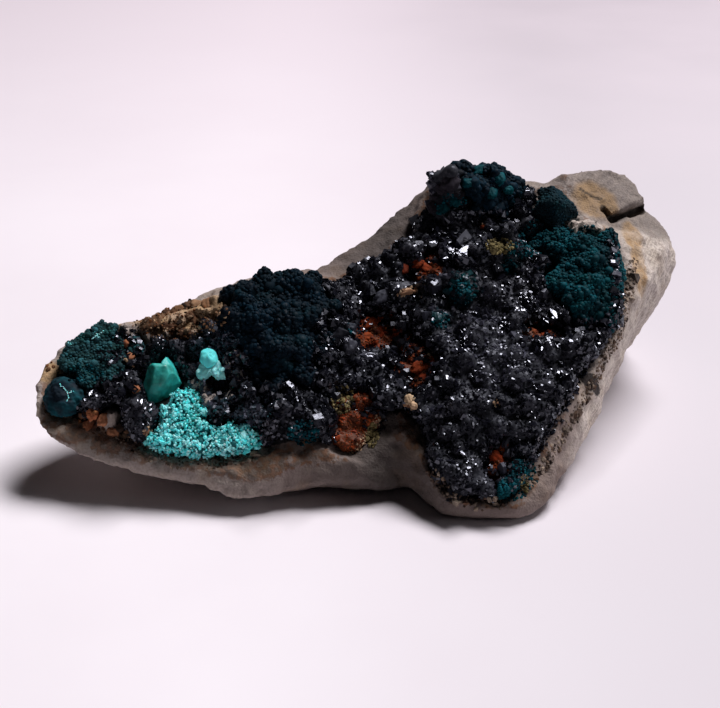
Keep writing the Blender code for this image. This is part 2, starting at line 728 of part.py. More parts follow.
def close_underside(mesh, foot):
    """The flat sole that the specimen rests on, and the arm's broken underside beyond it."""
    low = foot + [mesh.verts.new(placed(point) * MM) for point in ARM_KEEL]
    flat = [Vector(vertex.co.xy) / MM for vertex in low]
    ground = [n for n, vertex in enumerate(foot) if vertex.co.z < 1e-6]
    chord = [(ground[0], ground[-1])]
    result = delaunay_2d_cdt(flat, chord, [list(range(len(foot)))], 1, 1e-5)
    for triangle in result[2]:
        corners = [low[result[3][n][0]] for n in triangle]
        mesh.faces.new(list(reversed(corners)))


def make_materials():
    """One Principled material for each finish."""
    made = {}
    for name, (colour, roughness, metallic) in FINISHES.items():
        material = bpy.data.materials.new(name)
        material.use_nodes = True
        shader = material.node_tree.nodes["Principled BSDF"]
        shader.inputs["Base Color"].default_value = colour
        shader.inputs["Roughness"].default_value = roughness
        shader.inputs["Metallic"].default_value = metallic
        material.diffuse_color = colour
        made[name] = material
    return made


def add_object(name, mesh, material):
    """Turns a finished mesh into a named object with its material."""
    bmesh.ops.triangulate(mesh, faces=mesh.faces[:])
    data = bpy.data.meshes.new(name)
    mesh.to_mesh(data)
    mesh.free()
    data.materials.append(material)
    thing = bpy.data.objects.new(name, data)
    bpy.context.scene.collection.objects.link(thing)
    return thing


def clear_scene():
    """Removes what the scene holds at the start."""
    for thing in list(bpy.data.objects):
        bpy.data.objects.remove(thing, do_unlink=True)


def main():
    """Builds the matrix and every growth on it."""
    clear_scene()
    materials = make_materials()
    rng = random.Random(SEED)
    comb = Honeycomb(rim_outline(), rng)
    owner = share_out(comb)
    add_object("dolomite_matrix", grow_matrix(comb, owner, rng), materials["dolomite"])
    for growth in GROWTHS + (DRUSE, ARM_DRUSE):
        sites = [site for site in owner if owner[site] is growth]
        if growth.name == BARE_MATRIX.name or not sites:
            continue
        piece = grow_piece(comb, growth, sites, rng)
        add_object(growth.name, piece, materials[growth.material])


main()
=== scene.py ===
"""Looks of a libethenite specimen on dolomite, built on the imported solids.

The wedge of dolomite gets a broken, stained surface. Crystals, round grains, needles and earthy crumbs
are modelled one of each kind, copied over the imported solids' upper surfaces and joined piece by piece.
Lengths named in the classes are millimetres, and meshes are in metres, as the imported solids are.
"""

import logging
import math
from dataclasses import dataclass, field
from enum import Enum
from typing import Callable, Iterable, Optional, Sequence

import bpy
import numpy as np
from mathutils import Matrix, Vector, noise
from mathutils.bvhtree import BVHTree
from mathutils.kdtree import KDTree


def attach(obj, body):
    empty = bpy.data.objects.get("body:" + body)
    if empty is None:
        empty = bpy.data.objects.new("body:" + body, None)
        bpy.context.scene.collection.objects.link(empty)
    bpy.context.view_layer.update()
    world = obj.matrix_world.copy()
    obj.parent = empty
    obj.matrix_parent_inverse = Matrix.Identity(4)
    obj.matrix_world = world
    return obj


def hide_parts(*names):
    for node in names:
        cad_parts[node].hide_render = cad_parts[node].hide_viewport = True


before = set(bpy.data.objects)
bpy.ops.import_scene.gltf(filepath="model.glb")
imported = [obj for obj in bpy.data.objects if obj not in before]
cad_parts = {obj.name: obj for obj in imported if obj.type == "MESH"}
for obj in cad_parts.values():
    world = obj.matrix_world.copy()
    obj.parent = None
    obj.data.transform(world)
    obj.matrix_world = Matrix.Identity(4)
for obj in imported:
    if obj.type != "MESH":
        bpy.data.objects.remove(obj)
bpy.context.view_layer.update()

MM = 0.001
SEED = 23
BODY = "root"
TINT = "tint"
LOG = logging.getLogger("specimen")

Array = np.ndarray
Colour = tuple[float, float, float]


# Places on the crystal face


@dataclass(frozen=True)
class CrystalFace:
    """The plane that the crust grows on: p runs along X, q up the slope and h out of it."""

    origin_x: float = 1.5
    foot_y: float = -19.3
    foot_z: float = 2.5
    tilt: float = math.radians(33.0)

    @property
    def outward(self) -> Vector:
        """The plane's unit normal."""
        return Vector((0.0, -math.sin(self.tilt), math.cos(self.tilt)))

    @property
    def uphill(self) -> Vector:
        """The unit direction of q."""
        return Vector((0.0, math.cos(self.tilt), math.sin(self.tilt)))

    def place(self, p: float, q: float, h: float = 0.0) -> Vector:
        """Gives the point at (p, q, h), in metres."""
        foot = Vector((p - self.origin_x, self.foot_y, self.foot_z))
        return (foot + self.uphill * q + self.outward * h) * MM

    def read(self, points: Array) -> Array:
        """Measures points on the face.

        Args:
            points: rows of x, y and z, in metres.

        Returns:
            Rows of p, q and h, in millimetres.
        """
        away = points / MM - np.array((-self.origin_x, self.foot_y, self.foot_z))
        return np.stack([away[:, 0], away @ np.array(self.uphill), away @ np.array(self.outward)], axis=1)


    def read_sighted(self, points: Array) -> Array:
        """Measures where the photographed lines of sight to some points pass 0.6 mm above the face."""
        sights = points / MM - np.array(VIEWPOINT) / MM
        start = self.read(np.array([VIEWPOINT]))[0, 2]
        reach = (0.6 - start) / (sights @ np.array(self.outward))
        return self.read((np.array(VIEWPOINT) / MM + sights * reach[:, None]) * MM)


VIEWPOINT = Vector((-0.0015, -0.1196, 0.068))
FACE = CrystalFace()


@dataclass(frozen=True)
class Spot:
    """An ellipse on the crystal face, in millimetres."""

    p: float
    q: float
    radius_p: float
    radius_q: float

    def share(self, face_places: Array, fade: float = 0.35) -> Array:
        """Tells how far inside the ellipse each place is.

        Args:
            face_places: rows that start with p and q.
            fade: the width of the soft edge, as a share of the radii.

        Returns:
            One value for each row, from 0 outside to 1 inside.
        """
        across = (face_places[:, 0] - self.p) / self.radius_p
        along = (face_places[:, 1] - self.q) / self.radius_q
        return np.clip((1.0 + fade - np.hypot(across, along)) / fade, 0.0, 1.0)


def shares(spots: Iterable[Spot], face_places: Array, fade: float = 0.35) -> Array:
    """Gives the largest share of several spots at each place."""
    total = np.zeros(len(face_places))
    for spot in spots:
        total = np.maximum(total, spot.share(face_places, fade))
    return total


def spots_along(line: Sequence[tuple[float, float]], radius: float) -> tuple[Spot, ...]:
    """Strings round spots along a line of (p, q) corners, one for each radius of its length."""
    corners = np.array(line)
    lengths = np.concatenate([[0.0], np.cumsum(np.linalg.norm(np.diff(corners, axis=0), axis=1))])
    along = np.arange(0.0, lengths[-1], radius)
    p = np.interp(along, lengths, corners[:, 0])
    q = np.interp(along, lengths, corners[:, 1])
    return tuple(Spot(float(a), float(b), radius, radius) for a, b in zip(p, q))


# Modelling steps done by operators


def start_piece(add: Callable[..., object], **how: object) -> bpy.types.Object:
    """Adds a primitive with nothing else selected, and opens it for editing.

    Args:
        add: the operator that adds the primitive.
        how: the operator's settings.

    Returns:
        The new object, in edit mode with all of it selected.
    """
    bpy.ops.object.select_all(action="DESELECT")
    add(**how)
    bpy.ops.object.mode_set(mode="EDIT")
    bpy.ops.mesh.select_all(action="SELECT")
    return bpy.context.object


def cut_off(plane_point: Sequence[float], outward: Sequence[float]) -> None:
    """Cuts the open mesh with a plane and closes the cut, keeping the side behind the plane."""
    bpy.ops.mesh.select_all(action="SELECT")
    bpy.ops.mesh.bisect(
        plane_co=plane_point, plane_no=outward, use_fill=True, clear_outer=True, threshold=1e-6
    )


def close_piece() -> None:
    """Turns the open mesh's faces outwards and leaves edit mode."""
    bpy.ops.mesh.select_all(action="SELECT")
    bpy.ops.mesh.normals_make_consistent(inside=False)
    bpy.ops.object.mode_set(mode="OBJECT")


def merged_copy(node: str, name: str) -> bpy.types.Object:
    """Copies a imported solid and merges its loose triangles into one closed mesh."""
    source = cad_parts[node]
    copy = bpy.data.objects.new(name, source.data.copy())
    bpy.context.scene.collection.objects.link(copy)
    copy.data.materials.clear()
    bpy.ops.object.select_all(action="DESELECT")
    bpy.context.view_layer.objects.active = copy
    copy.select_set(True)
    bpy.ops.object.mode_set(mode="EDIT")
    bpy.ops.mesh.select_all(action="SELECT")
    bpy.ops.mesh.remove_doubles(threshold=1e-6)
    bpy.ops.object.mode_set(mode="OBJECT")
    return copy


def apply_modifier(thing: bpy.types.Object, kind: str, **settings: object) -> None:
    """Adds a modifier to an object and applies it at once."""
    modifier = thing.modifiers.new(kind.title(), kind)
    for name, value in settings.items():
        setattr(modifier, name, value)
    bpy.context.view_layer.objects.active = thing
    bpy.ops.object.modifier_apply(modifier=modifier.name)


@dataclass(frozen=True)
class Relief:
    """Unevenness that a displacement carves into a surface, in millimetres."""

    texture: str
    grain: float
    depth: float
    detail: int = 2
    stretch: Optional[Vector] = None
    turn: float = 0.0

    def carve(self, thing: bpy.types.Object, group: str = "") -> None:
        """Displaces an object's vertices along their normals.

        Args:
            thing: the object.
            group: the vertex group that weighs the displacement, if any.
        """
        texture = bpy.data.textures.new(self.texture.lower(), self.texture)
        texture.noise_scale = self.grain * MM
        if self.texture == "CLOUDS":
            texture.noise_depth = self.detail
        settings = {"texture": texture, "strength": self.depth * MM, "mid_level": 0.5, "vertex_group": group}
        guide = None
        if self.stretch is not None:
            guide = bpy.data.objects.new("relief_guide", None)
            bpy.context.scene.collection.objects.link(guide)
            guide.scale = self.stretch
            guide.rotation_euler = (0.0, 0.0, self.turn)
            bpy.context.view_layer.update()
            settings.update(texture_coords="OBJECT", texture_coords_object=guide)
        apply_modifier(thing, "DISPLACE", **settings)
        if guide is not None:
            bpy.data.objects.remove(guide)


def coordinates(mesh: bpy.types.Mesh) -> Array:
    """Reads a mesh's vertex places as rows."""
    flat = np.zeros(len(mesh.vertices) * 3)
    mesh.vertices.foreach_get("co", flat)
    return flat.reshape(-1, 3)


def paint(mesh: bpy.types.Mesh, name: str, channels: Sequence[Array]) -> None:
    """Stores three values for each vertex as a colour attribute."""
    values = np.ones((len(mesh.vertices), 4), np.float32)
    for column, channel in enumerate(channels):
        values[:, column] = channel
    attribute = mesh.attributes.new(name, "FLOAT_COLOR", "POINT")
    attribute.data.foreach_set("color", values.ravel())


def dress(thing: bpy.types.Object, material: bpy.types.Material, slot: str, *nodes: str) -> None:
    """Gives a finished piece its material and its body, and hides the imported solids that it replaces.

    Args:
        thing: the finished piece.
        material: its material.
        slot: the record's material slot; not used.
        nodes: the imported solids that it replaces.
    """
    thing.data.materials.clear()
    thing.data.materials.append(material)
    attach(thing, BODY)
    if nodes:
        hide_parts(*nodes)
    thing.data.calc_loop_triangles()
    LOG.info("%s: %d triangles", thing.name, len(thing.data.loop_triangles))


# Grains that are modelled once and copied


@dataclass(frozen=True)
class Shape:
    """One modelled grain, about one unit across, standing on its origin along +Z."""

    corners: Array
    faces: tuple[tuple[int, ...], ...]
    smooth: bool = False

    @classmethod
    def taken_from(cls, thing: bpy.types.Object, smooth: bool = False) -> "Shape":
        """Reads an object's mesh as a shape and removes the object."""
        faces = tuple(tuple(polygon.vertices) for polygon in thing.data.polygons)
        shape = cls(coordinates(thing.data), faces, smooth)
        bpy.data.objects.remove(thing)
        return shape


class Habit(Enum):
    """The crystal forms, as a block's proportions and the (normal, distance) planes that cut it."""

    WEDGE = (
        (0.9, 1.1, 1.3),
        (
            ((0.80, 0.0, 0.60), 0.44),
            ((-0.76, 0.0, 0.65), 0.46),
            ((0.0, 0.92, 0.38), 0.52),
            ((0.0, -0.90, 0.44), 0.53),
        ),
    )
    DIAMOND = (
        (1.1, 1.0, 1.3),
        (
            ((0.74, 0.10, 0.66), 0.42),
            ((-0.70, 0.05, 0.70), 0.44),
            ((0.05, 0.72, 0.69), 0.45),
            ((0.0, -0.76, 0.65), 0.43),
            ((0.71, 0.71, 0.0), 0.56),
            ((-0.71, 0.71, 0.0), 0.58),
        ),
    )
    BLOCK = (
        (1.0, 0.85, 1.1),
        (
            ((0.28, 0.12, 0.95), 0.40),
            ((0.58, 0.58, 0.57), 0.54),
            ((-0.62, 0.50, 0.60), 0.57),
            ((-0.30, -0.72, 0.62), 0.50),
        ),
    )
    PLATE = (
        (1.25, 0.42, 1.25),
        (
            ((0.70, 0.0, 0.71), 0.56),
            ((-0.64, 0.12, 0.76), 0.50),
            ((0.10, 0.80, 0.60), 0.44),
        ),
    )
    SHARD = (
        (0.8, 0.9, 1.5),
        (
            ((0.52, 0.30, 0.80), 0.42),
            ((-0.85, 0.20, 0.48), 0.40),
            ((0.20, -0.86, 0.46), 0.46),
            ((-0.30, 0.84, 0.45), 0.48),
        ),
    )

    ROOF = (
        (0.9, 1.3, 1.1),
        (
            ((0.84, 0.0, 0.54), 0.14),
            ((-0.80, 0.0, 0.60), 0.12),
        ),
    )
    SLAB = (
        (1.2, 0.5, 1.0),
        (
            ((0.55, 0.0, 0.84), 0.40),
        ),
    )
    TABLE = (
        (1.2, 1.2, 0.8),
        (
            ((0.05, 0.07, 0.996), 0.36),
            ((-0.06, 0.02, 0.998), 0.38),
            ((0.70, 0.62, 0.35), 0.56),
            ((-0.78, 0.50, 0.37), 0.52),
            ((0.30, -0.88, 0.37), 0.50),
            ((-0.60, -0.72, 0.35), 0.60),
        ),
    )

    def model(self, rounding: float = 0.0) -> Shape:
        """Cuts a block into this crystal form.

        Args:
            rounding: how wide its edges are rounded off, as a share of its size.

        Returns:
            The crystal.
        """
        proportions, cuts = self.value
        block = start_piece(bpy.ops.mesh.primitive_cube_add, size=1.0)
        bpy.ops.transform.resize(value=proportions)
        for normal, distance in cuts:
            cut_off([distance * component for component in normal], normal)
        close_piece()
        if rounding:
            apply_modifier(block, "REMESH", mode="VOXEL", voxel_size=0.09, adaptivity=0.0)
            apply_modifier(block, "SMOOTH", factor=0.5, iterations=int(60 * rounding))
        return Shape.taken_from(block, smooth=rounding > 0)


def round_grain() -> Shape:
    """Models a low round grain."""
    ball = start_piece(bpy.ops.mesh.primitive_uv_sphere_add, segments=7, ring_count=4, radius=0.5)
    bpy.ops.transform.resize(value=(1.0, 1.0, 0.92))
    bpy.ops.transform.vertex_random(offset=0.035, seed=3)
    close_piece()
    return Shape.taken_from(ball, smooth=True)


def point_crystal() -> Shape:
    """Models a four-sided pointed crystal."""
    spike = start_piece(
        bpy.ops.mesh.primitive_cone_add, vertices=4, radius1=0.62, radius2=0.0, depth=1.0
    )
    close_piece()
    return Shape.taken_from(spike)


def crumb(number: int) -> Shape:
    """Models one uneven earthy crumb, each number another one."""
    lump = start_piece(bpy.ops.mesh.primitive_ico_sphere_add, subdivisions=1, radius=0.5)
    bpy.ops.transform.vertex_random(offset=0.16, seed=number)
    bpy.ops.transform.resize(value=(1.0, 0.8, 0.75))
    close_piece()
    return Shape.taken_from(lump)


def boulder(subdivisions: int = 4) -> Shape:
    """Models a well rounded, knobbly lump."""
    ball = start_piece(bpy.ops.mesh.primitive_ico_sphere_add, subdivisions=subdivisions, radius=0.5)
    close_piece()
    Relief("CLOUDS", 420.0, 420.0, 2).carve(ball)
    return Shape.taken_from(ball, smooth=True)


@dataclass
class Places:
    """Points in metres where grains stand, and the direction that each grows in."""

    points: Array
    normals: Array

    def picked(self, keep: Array) -> "Places":
        """Gives the places that a mask or an index list names."""
        return Places(self.points[keep], self.normals[keep])

    def spread(self, spacing: Array, rng: np.random.Generator) -> "Places":
        """Drops places until no two stand closer than a spacing.

        Args:
            spacing: the least distance at each place, in millimetres.
            rng: the source of the random order.

        Returns:
            The places that are left.
        """
        tree = KDTree(len(self.points))
        for number, point in enumerate(self.points):
            tree.insert(point, number)
        tree.balance()
        alive = np.ones(len(self.points), bool)
        kept = []
        for number in rng.permutation(len(self.points)):
            if not alive[number]:
                continue
            kept.append(number)
            for _, other, _ in tree.find_range(self.points[number], spacing[number] * MM):
                alive[other] = False
        return self.picked(np.array(sorted(kept), int))


class Ground:
    """A surface that grains are set on."""

    def __init__(self, meshes: Iterable[bpy.types.Mesh]) -> None:
        """Gathers the triangles of some meshes."""
        corners = []
        for mesh in meshes:
            mesh.calc_loop_triangles()
            index = np.zeros(len(mesh.loop_triangles) * 3, int)
            mesh.loop_triangles.foreach_get("vertices", index)
            corners.append(coordinates(mesh)[index].reshape(-1, 3, 3))
        self.corners = np.concatenate(corners)
        cross = np.cross(
            self.corners[:, 1] - self.corners[:, 0], self.corners[:, 2] - self.corners[:, 0]
        )
        length = np.maximum(np.linalg.norm(cross, axis=1), 1e-18)
        self.areas = length / 2
        self.normals = cross / length[:, None]
        self.lift = self.normals @ np.array(FACE.outward)
        self.rays: Optional[BVHTree] = None

    def scatter(self, pitch: float, rng: np.random.Generator, least_lift: float = 0.1) -> Places:
        """Strews places over the upward surface, several for each square of the pitch.

        Args:
            pitch: the side of that square, in millimetres.
            rng: the source of the random places.
            least_lift: how far a triangle's normal has to lean out of the crystal face.

        Returns:
            The places, with the triangles' normals.
        """
        usable = np.flatnonzero(self.lift > least_lift)
        weights = self.areas[usable]
        crowd = 5.0
        count = int(crowd * weights.sum() / (pitch * MM) ** 2)
        chosen = usable[rng.choice(len(usable), count, p=weights / weights.sum())]
        first = rng.random(count)
        second = rng.random(count)
        over = first + second > 1
        first[over] = 1 - first[over]
        second[over] = 1 - second[over]
        a, b, c = (self.corners[chosen, n] for n in range(3))
        points = a + (b - a) * first[:, None] + (c - a) * second[:, None]
        return Places(points, self.normals[chosen])

    def drop(self, p: Array, q: Array) -> Places:
        """Finds the surface at places of the crystal face, looking along the photographed line of sight."""
        if self.rays is None:
            self.rays = self.tree()
        points = []
        normals = []
        for along_p, along_q in zip(p, q):
            aim = FACE.place(along_p, along_q, 0.6)
            sight = (aim - VIEWPOINT).normalized()
            point, normal, _, _ = self.rays.ray_cast(aim - sight * 15 * MM, sight)
            if point is not None:
                points.append(point)
                normals.append(normal)
        return Places(np.array(points).reshape(-1, 3), np.array(normals).reshape(-1, 3))

    def tree(self) -> BVHTree:
        """Makes the surface ready for rays."""
        flat = self.corners.reshape(-1, 3)
        index = np.arange(len(flat)).reshape(-1, 3)
        return BVHTree.FromPolygons(flat.tolist(), index.tolist())


def unit(vectors: Array) -> Array:
    """Scales rows to length one."""
    return vectors / np.maximum(np.linalg.norm(vectors, axis=1), 1e-12)[:, None]


def frames_along(axes: Array, spins: Array, sizes: Array) -> Array:
    """Builds a turned and scaled frame for each grain.

    Args:
        axes: the directions of the grains' own +Z.
        spins: turns about them, in radians.
        sizes: the scales of the grains' own three axes, in metres.

    Returns:
        One 3 x 3 matrix for each grain.
    """
    upright = np.abs(axes[:, 2:3]) < 0.9
    helper = np.where(upright, np.array((0.0, 0.0, 1.0)), np.array((1.0, 0.0, 0.0)))
    side = unit(np.cross(helper, axes))
    other = np.cross(axes, side)
    cosine = np.cos(spins)[:, None]
    sine = np.sin(spins)[:, None]
    turned = np.stack([side * cosine + other * sine, other * cosine - side * sine, axes], axis=2)
    return turned * sizes[:, None, :]


class Swarm:
    """Many placed copies of modelled grains, gathered into one mesh."""

    def __init__(self, name: str) -> None:
        """Starts an empty swarm for the piece of that name."""
        self.name = name
        self.corners: list[Array] = []
        self.tints: list[Array] = []
        self.face_corners: list[Array] = []
        self.face_sizes: list[Array] = []
        self.face_smooth: list[Array] = []
        self.count = 0

    def add(self, shape: Shape, frames: Array, points: Array, tints: Array) -> None:
        """Adds a copy of a shape for each frame.

        Args:
            shape: the grain to copy.
            frames: one 3 x 3 matrix for each copy.
            points: where each copy's origin goes, in metres.
            tints: three values for each copy, for the materials.
        """
        if not len(points):
            return
        placed = np.einsum("nij,vj->nvi", frames, shape.corners) + points[:, None]
        flat = np.array([corner for face in shape.faces for corner in face])
        size = len(shape.corners)
        offsets = self.count + size * np.arange(len(points))
        self.corners.append(placed.reshape(-1, 3))
        self.tints.append(np.repeat(tints, size, axis=0))
        self.face_corners.append((flat[None, :] + offsets[:, None]).ravel())
        self.face_sizes.append(np.tile([len(face) for face in shape.faces], len(points)))
        self.face_smooth.append(np.full(len(shape.faces) * len(points), shape.smooth))
        self.count += size * len(points)

    def add_mesh(self, thing: bpy.types.Object, tint: Colour, smooth: bool = True) -> None:
        """Adds an object's mesh as it stands and removes the object."""
        shape = Shape.taken_from(thing, smooth)
        self.add(shape, np.eye(3)[None], np.zeros((1, 3)), np.array([tint]))

    def build(self) -> bpy.types.Object:
        """Makes the joined object."""
        faces = np.split(np.concatenate(self.face_corners), np.cumsum(np.concatenate(self.face_sizes))[:-1])
        mesh = bpy.data.meshes.new(self.name)
        mesh.from_pydata(np.concatenate(self.corners).tolist(), [], [face.tolist() for face in faces])
        mesh.polygons.foreach_set("use_smooth", np.concatenate(self.face_smooth))
        paint(mesh, TINT, np.concatenate(self.tints).T)
        thing = bpy.data.objects.new(self.name, mesh)
        bpy.context.scene.collection.objects.link(thing)
        return thing


# Node work


class Bench:
    """A node tree that is wired by naming each node's inputs."""

    def __init__(self, tree: bpy.types.NodeTree) -> None:
        """Takes the tree to wire."""
        self.tree = tree

    def node(self, kind: str, inputs: Optional[dict] = None, **options: object) -> bpy.types.Node:
        """Adds a node.

        Args:
            kind: the node's type.
            inputs: values or output sockets for its inputs, by name or number.
            options: the node's own settings.

        Returns:
            The new node.
        """
        made = self.tree.nodes.new(kind)
        for name, value in options.items():
            setattr(made, name, value)
        for name, value in (inputs or {}).items():
            if isinstance(value, bpy.types.NodeSocket):
                self.tree.links.new(value, made.inputs[name])
            else:
                made.inputs[name].default_value = value
        return made

    def noise(self, where: bpy.types.NodeSocket, grain: float, detail: float = 3.0, rough: float = 0.55):
        """Adds noise whose features are about one grain, in millimetres, across."""
        inputs = {"Vector": where, "Scale": 1 / (grain * MM), "Detail": detail, "Roughness": rough}
        return self.node("ShaderNodeTexNoise", inputs).outputs[0]

    def cells(self, where: bpy.types.NodeSocket, grain: float, output: str = "Distance", feature: str = "F1"):
        """Adds a cell pattern whose cells are one grain, in millimetres, across."""
        inputs = {"Vector": where, "Scale": 1 / (grain * MM)}
        return self.node("ShaderNodeTexVoronoi", inputs, feature=feature).outputs[output]

    def ramp(self, value: bpy.types.NodeSocket, low: float, high: float, start=0.0, end=1.0):
        """Maps low..high smoothly to start..end."""
        inputs = {0: value, 1: low, 2: high, 3: start, 4: end}
        return self.node("ShaderNodeMapRange", inputs, interpolation_type="SMOOTHSTEP").outputs[0]

    def mix(self, share, first, second, blend: str = "MIX"):
        """Mixes two colours by a share."""
        inputs = {0: share, 6: solid(first), 7: solid(second)}
        return self.node("ShaderNodeMix", inputs, data_type="RGBA", blend_type=blend).outputs[2]

    def calculate(self, operation: str, first, second=0.0, clamp: bool = False):
        """Adds a math node."""
        return self.node("ShaderNodeMath", {0: first, 1: second}, operation=operation, use_clamp=clamp).outputs[0]

    def streaks(self, where: bpy.types.NodeSocket, along: Vector, width: float, length: float):
        """Adds noise drawn out along a direction, its width and length in millimetres."""
        side = along.orthogonal().normalized()
        axes = ((side, width), (along.cross(side), width), (along, length))
        parts = [
            self.node("ShaderNodeVectorMath", {0: where, 1: axis / (size * MM)}, operation="DOT_PRODUCT").outputs["Value"]
            for axis, size in axes
        ]
        place = self.node("ShaderNodeCombineXYZ", dict(enumerate(parts))).outputs[0]
        return self.node("ShaderNodeTexNoise", {"Vector": place, "Scale": 1.0, "Detail": 3.0}).outputs[0]

    def attribute(self, name: str) -> bpy.types.Node:
        """Reads a colour attribute and parts its three channels."""
        read = self.node("ShaderNodeAttribute", attribute_name=name)
        return self.node("ShaderNodeSeparateColor", {0: read.outputs["Color"]})

    def bump(self, height, depth: float, strength: float = 1.0, below=None):
        """Adds a bump whose full height is a depth in millimetres."""
        inputs = {"Height": height, "Distance": depth * MM, "Strength": strength}
        if below is not None:
            inputs["Normal"] = below
        return self.node("ShaderNodeBump", inputs).outputs[0]


def solid(colour):
    """Gives a colour its fourth number, and leaves a socket as it is."""
    return (*colour, 1.0) if isinstance(colour, tuple) else colour


def new_group(name: str, inputs: dict[str, float], outputs: Sequence[str]) -> tuple[Bench, dict, bpy.types.Node]:
    """Starts a node group.

    Args:
        name: the group's name.
        inputs: its number inputs with their usual values. A Vector input is added before them.
        outputs: its number outputs.

    Returns:
        The bench of its tree, its input sockets by name, and its output node.
    """
    tree = bpy.data.node_groups.new(name, "ShaderNodeTree")
    tree.interface.new_socket("Vector", in_out="INPUT", socket_type="NodeSocketVector")
    for label, usual in inputs.items():
        socket = tree.interface.new_socket(label, in_out="INPUT", socket_type="NodeSocketFloat")
        socket.default_value = usual
    for label in outputs:
        tree.interface.new_socket(label, in_out="OUTPUT", socket_type="NodeSocketFloat")
    entry = tree.nodes.new("NodeGroupInput")
    return Bench(tree), {socket.name: socket for socket in entry.outputs}, tree.nodes.new("NodeGroupOutput")


class Effects:
    """The effects that several finishes share, each built once as a node group."""

    def __init__(self) -> None:
        """Builds the groups."""
        self.mottle = self.build_mottle()
        self.grit = self.build_grit()

    @staticmethod
    def build_mottle() -> bpy.types.NodeTree:
        """Soft uneven patches: a share from 0 to 1."""
        bench, inlet, outlet = new_group("mottle", {"Scale": 500.0, "Edge": 0.12}, ["Share"])
        patches = bench.node(
            "ShaderNodeTexNoise", {"Vector": inlet["Vector"], "Scale": inlet["Scale"], "Detail": 4.0}
        ).outputs[0]
        low = bench.calculate("SUBTRACT", 0.5, inlet["Edge"])
        high = bench.calculate("ADD", 0.5, inlet["Edge"])
        share = bench.node(
            "ShaderNodeMapRange", {0: patches, 1: low, 2: high}, interpolation_type="SMOOTHSTEP"
        )
        bench.tree.links.new(share.outputs[0], outlet.inputs["Share"])
        return bench.tree

    @staticmethod
    def build_grit() -> bpy.types.NodeTree:
        """Fine grain: a height for bump and a mask of the pits between grains."""
        bench, inlet, outlet = new_group("grit", {"Scale": 3000.0}, ["Height", "Pits"])
        fine = bench.node(
            "ShaderNodeTexNoise", {"Vector": inlet["Vector"], "Scale": inlet["Scale"], "Detail": 5.0}
        ).outputs[0]
        grains = bench.node(
            "ShaderNodeTexVoronoi", {"Vector": inlet["Vector"], "Scale": inlet["Scale"]}
        ).outputs["Distance"]
        height = bench.calculate("SUBTRACT", fine, bench.calculate("MULTIPLY", grains, 0.45))
        bench.tree.links.new(height, outlet.inputs["Height"])
        bench.tree.links.new(bench.ramp(grains, 0.45, 0.8), outlet.inputs["Pits"])
        return bench.tree


EFFECTS = Effects()


class Finish:
    """A material under construction: its bench, its object coordinates and its shader."""

    def __init__(self, name: str, **shader_values: object) -> None:
        """Starts a material.

        Args:
            name: the material's name.
            shader_values: constant values of the shader's sockets, with underscores for spaces.
        """
        self.material = bpy.data.materials.new(name)
        self.material.use_nodes = True
        self.bench = Bench(self.material.node_tree)
        self.shader = self.material.node_tree.nodes["Principled BSDF"]
        self.where = self.bench.node("ShaderNodeTexCoord").outputs["Object"]
        for socket, value in shader_values.items():
            self.shader.inputs[socket.replace("_", " ")].default_value = value

    def effect(self, group: bpy.types.NodeTree, **values: float) -> bpy.types.Node:
        """Places a shared effect on the object coordinates."""
        placed = self.bench.node("ShaderNodeGroup", node_tree=group)
        self.bench.tree.links.new(self.where, placed.inputs["Vector"])
        for name, value in values.items():
            placed.inputs[name].default_value = value
        return placed

    def feed(self, **sockets: object) -> bpy.types.Material:
        """Links outputs to the shader's inputs, with underscores for spaces, and gives the material."""
        for name, socket in sockets.items():
            self.bench.tree.links.new(socket, self.shader.inputs[name.replace("_", " ")])
        return self.material


@dataclass(frozen=True)
class CrystalFinish:
    """Glossy, almost black crystal faces.

    The tint holds, for each crystal, how teal it is, how grey it is (partly a dusty coating, partly painted sheen) and
    how dull its faces are.
    """

    name: str = "libethenite"
    black: Colour = (0.0045, 0.0047, 0.0080)
    teal: Colour = (0.005, 0.055, 0.062)
    grey: Colour = (0.056, 0.056, 0.082)
    index: float = 1.66
    gloss: float = 0.06
    dull: float = 0.42
    striation: float = 0.11

    def material(self) -> bpy.types.Material:
        """Wires the finish."""
        work = Finish(self.name, IOR=self.index, Specular_Tint=(0.82, 0.86, 1.0, 1.0))
        bench = work.bench
        tint = bench.attribute(TINT)
        uneven = work.effect(EFFECTS.mottle, Scale=1 / (0.5 * MM), Edge=0.2).outputs[0]
        colour = bench.mix(tint.outputs[0], self.black, self.teal)
        colour = bench.mix(tint.outputs[1], colour, self.grey)
        colour = bench.mix(bench.calculate("MULTIPLY", uneven, 0.45), colour, self.black)
        smear = bench.noise(work.where, 0.35, 2.0)
        rough = bench.calculate("MULTIPLY_ADD", tint.outputs[2], self.dull)
        rough.node.inputs[2].default_value = self.gloss
        rough = bench.calculate("MULTIPLY", rough, bench.ramp(smear, 0.3, 0.7, 0.75, 1.35))
        steps = bench.noise(work.where, self.striation, 2.0, 0.5)
        return work.feed(Base_Color=colour, Roughness=rough, Normal=bench.bump(steps, 0.012, 0.7))


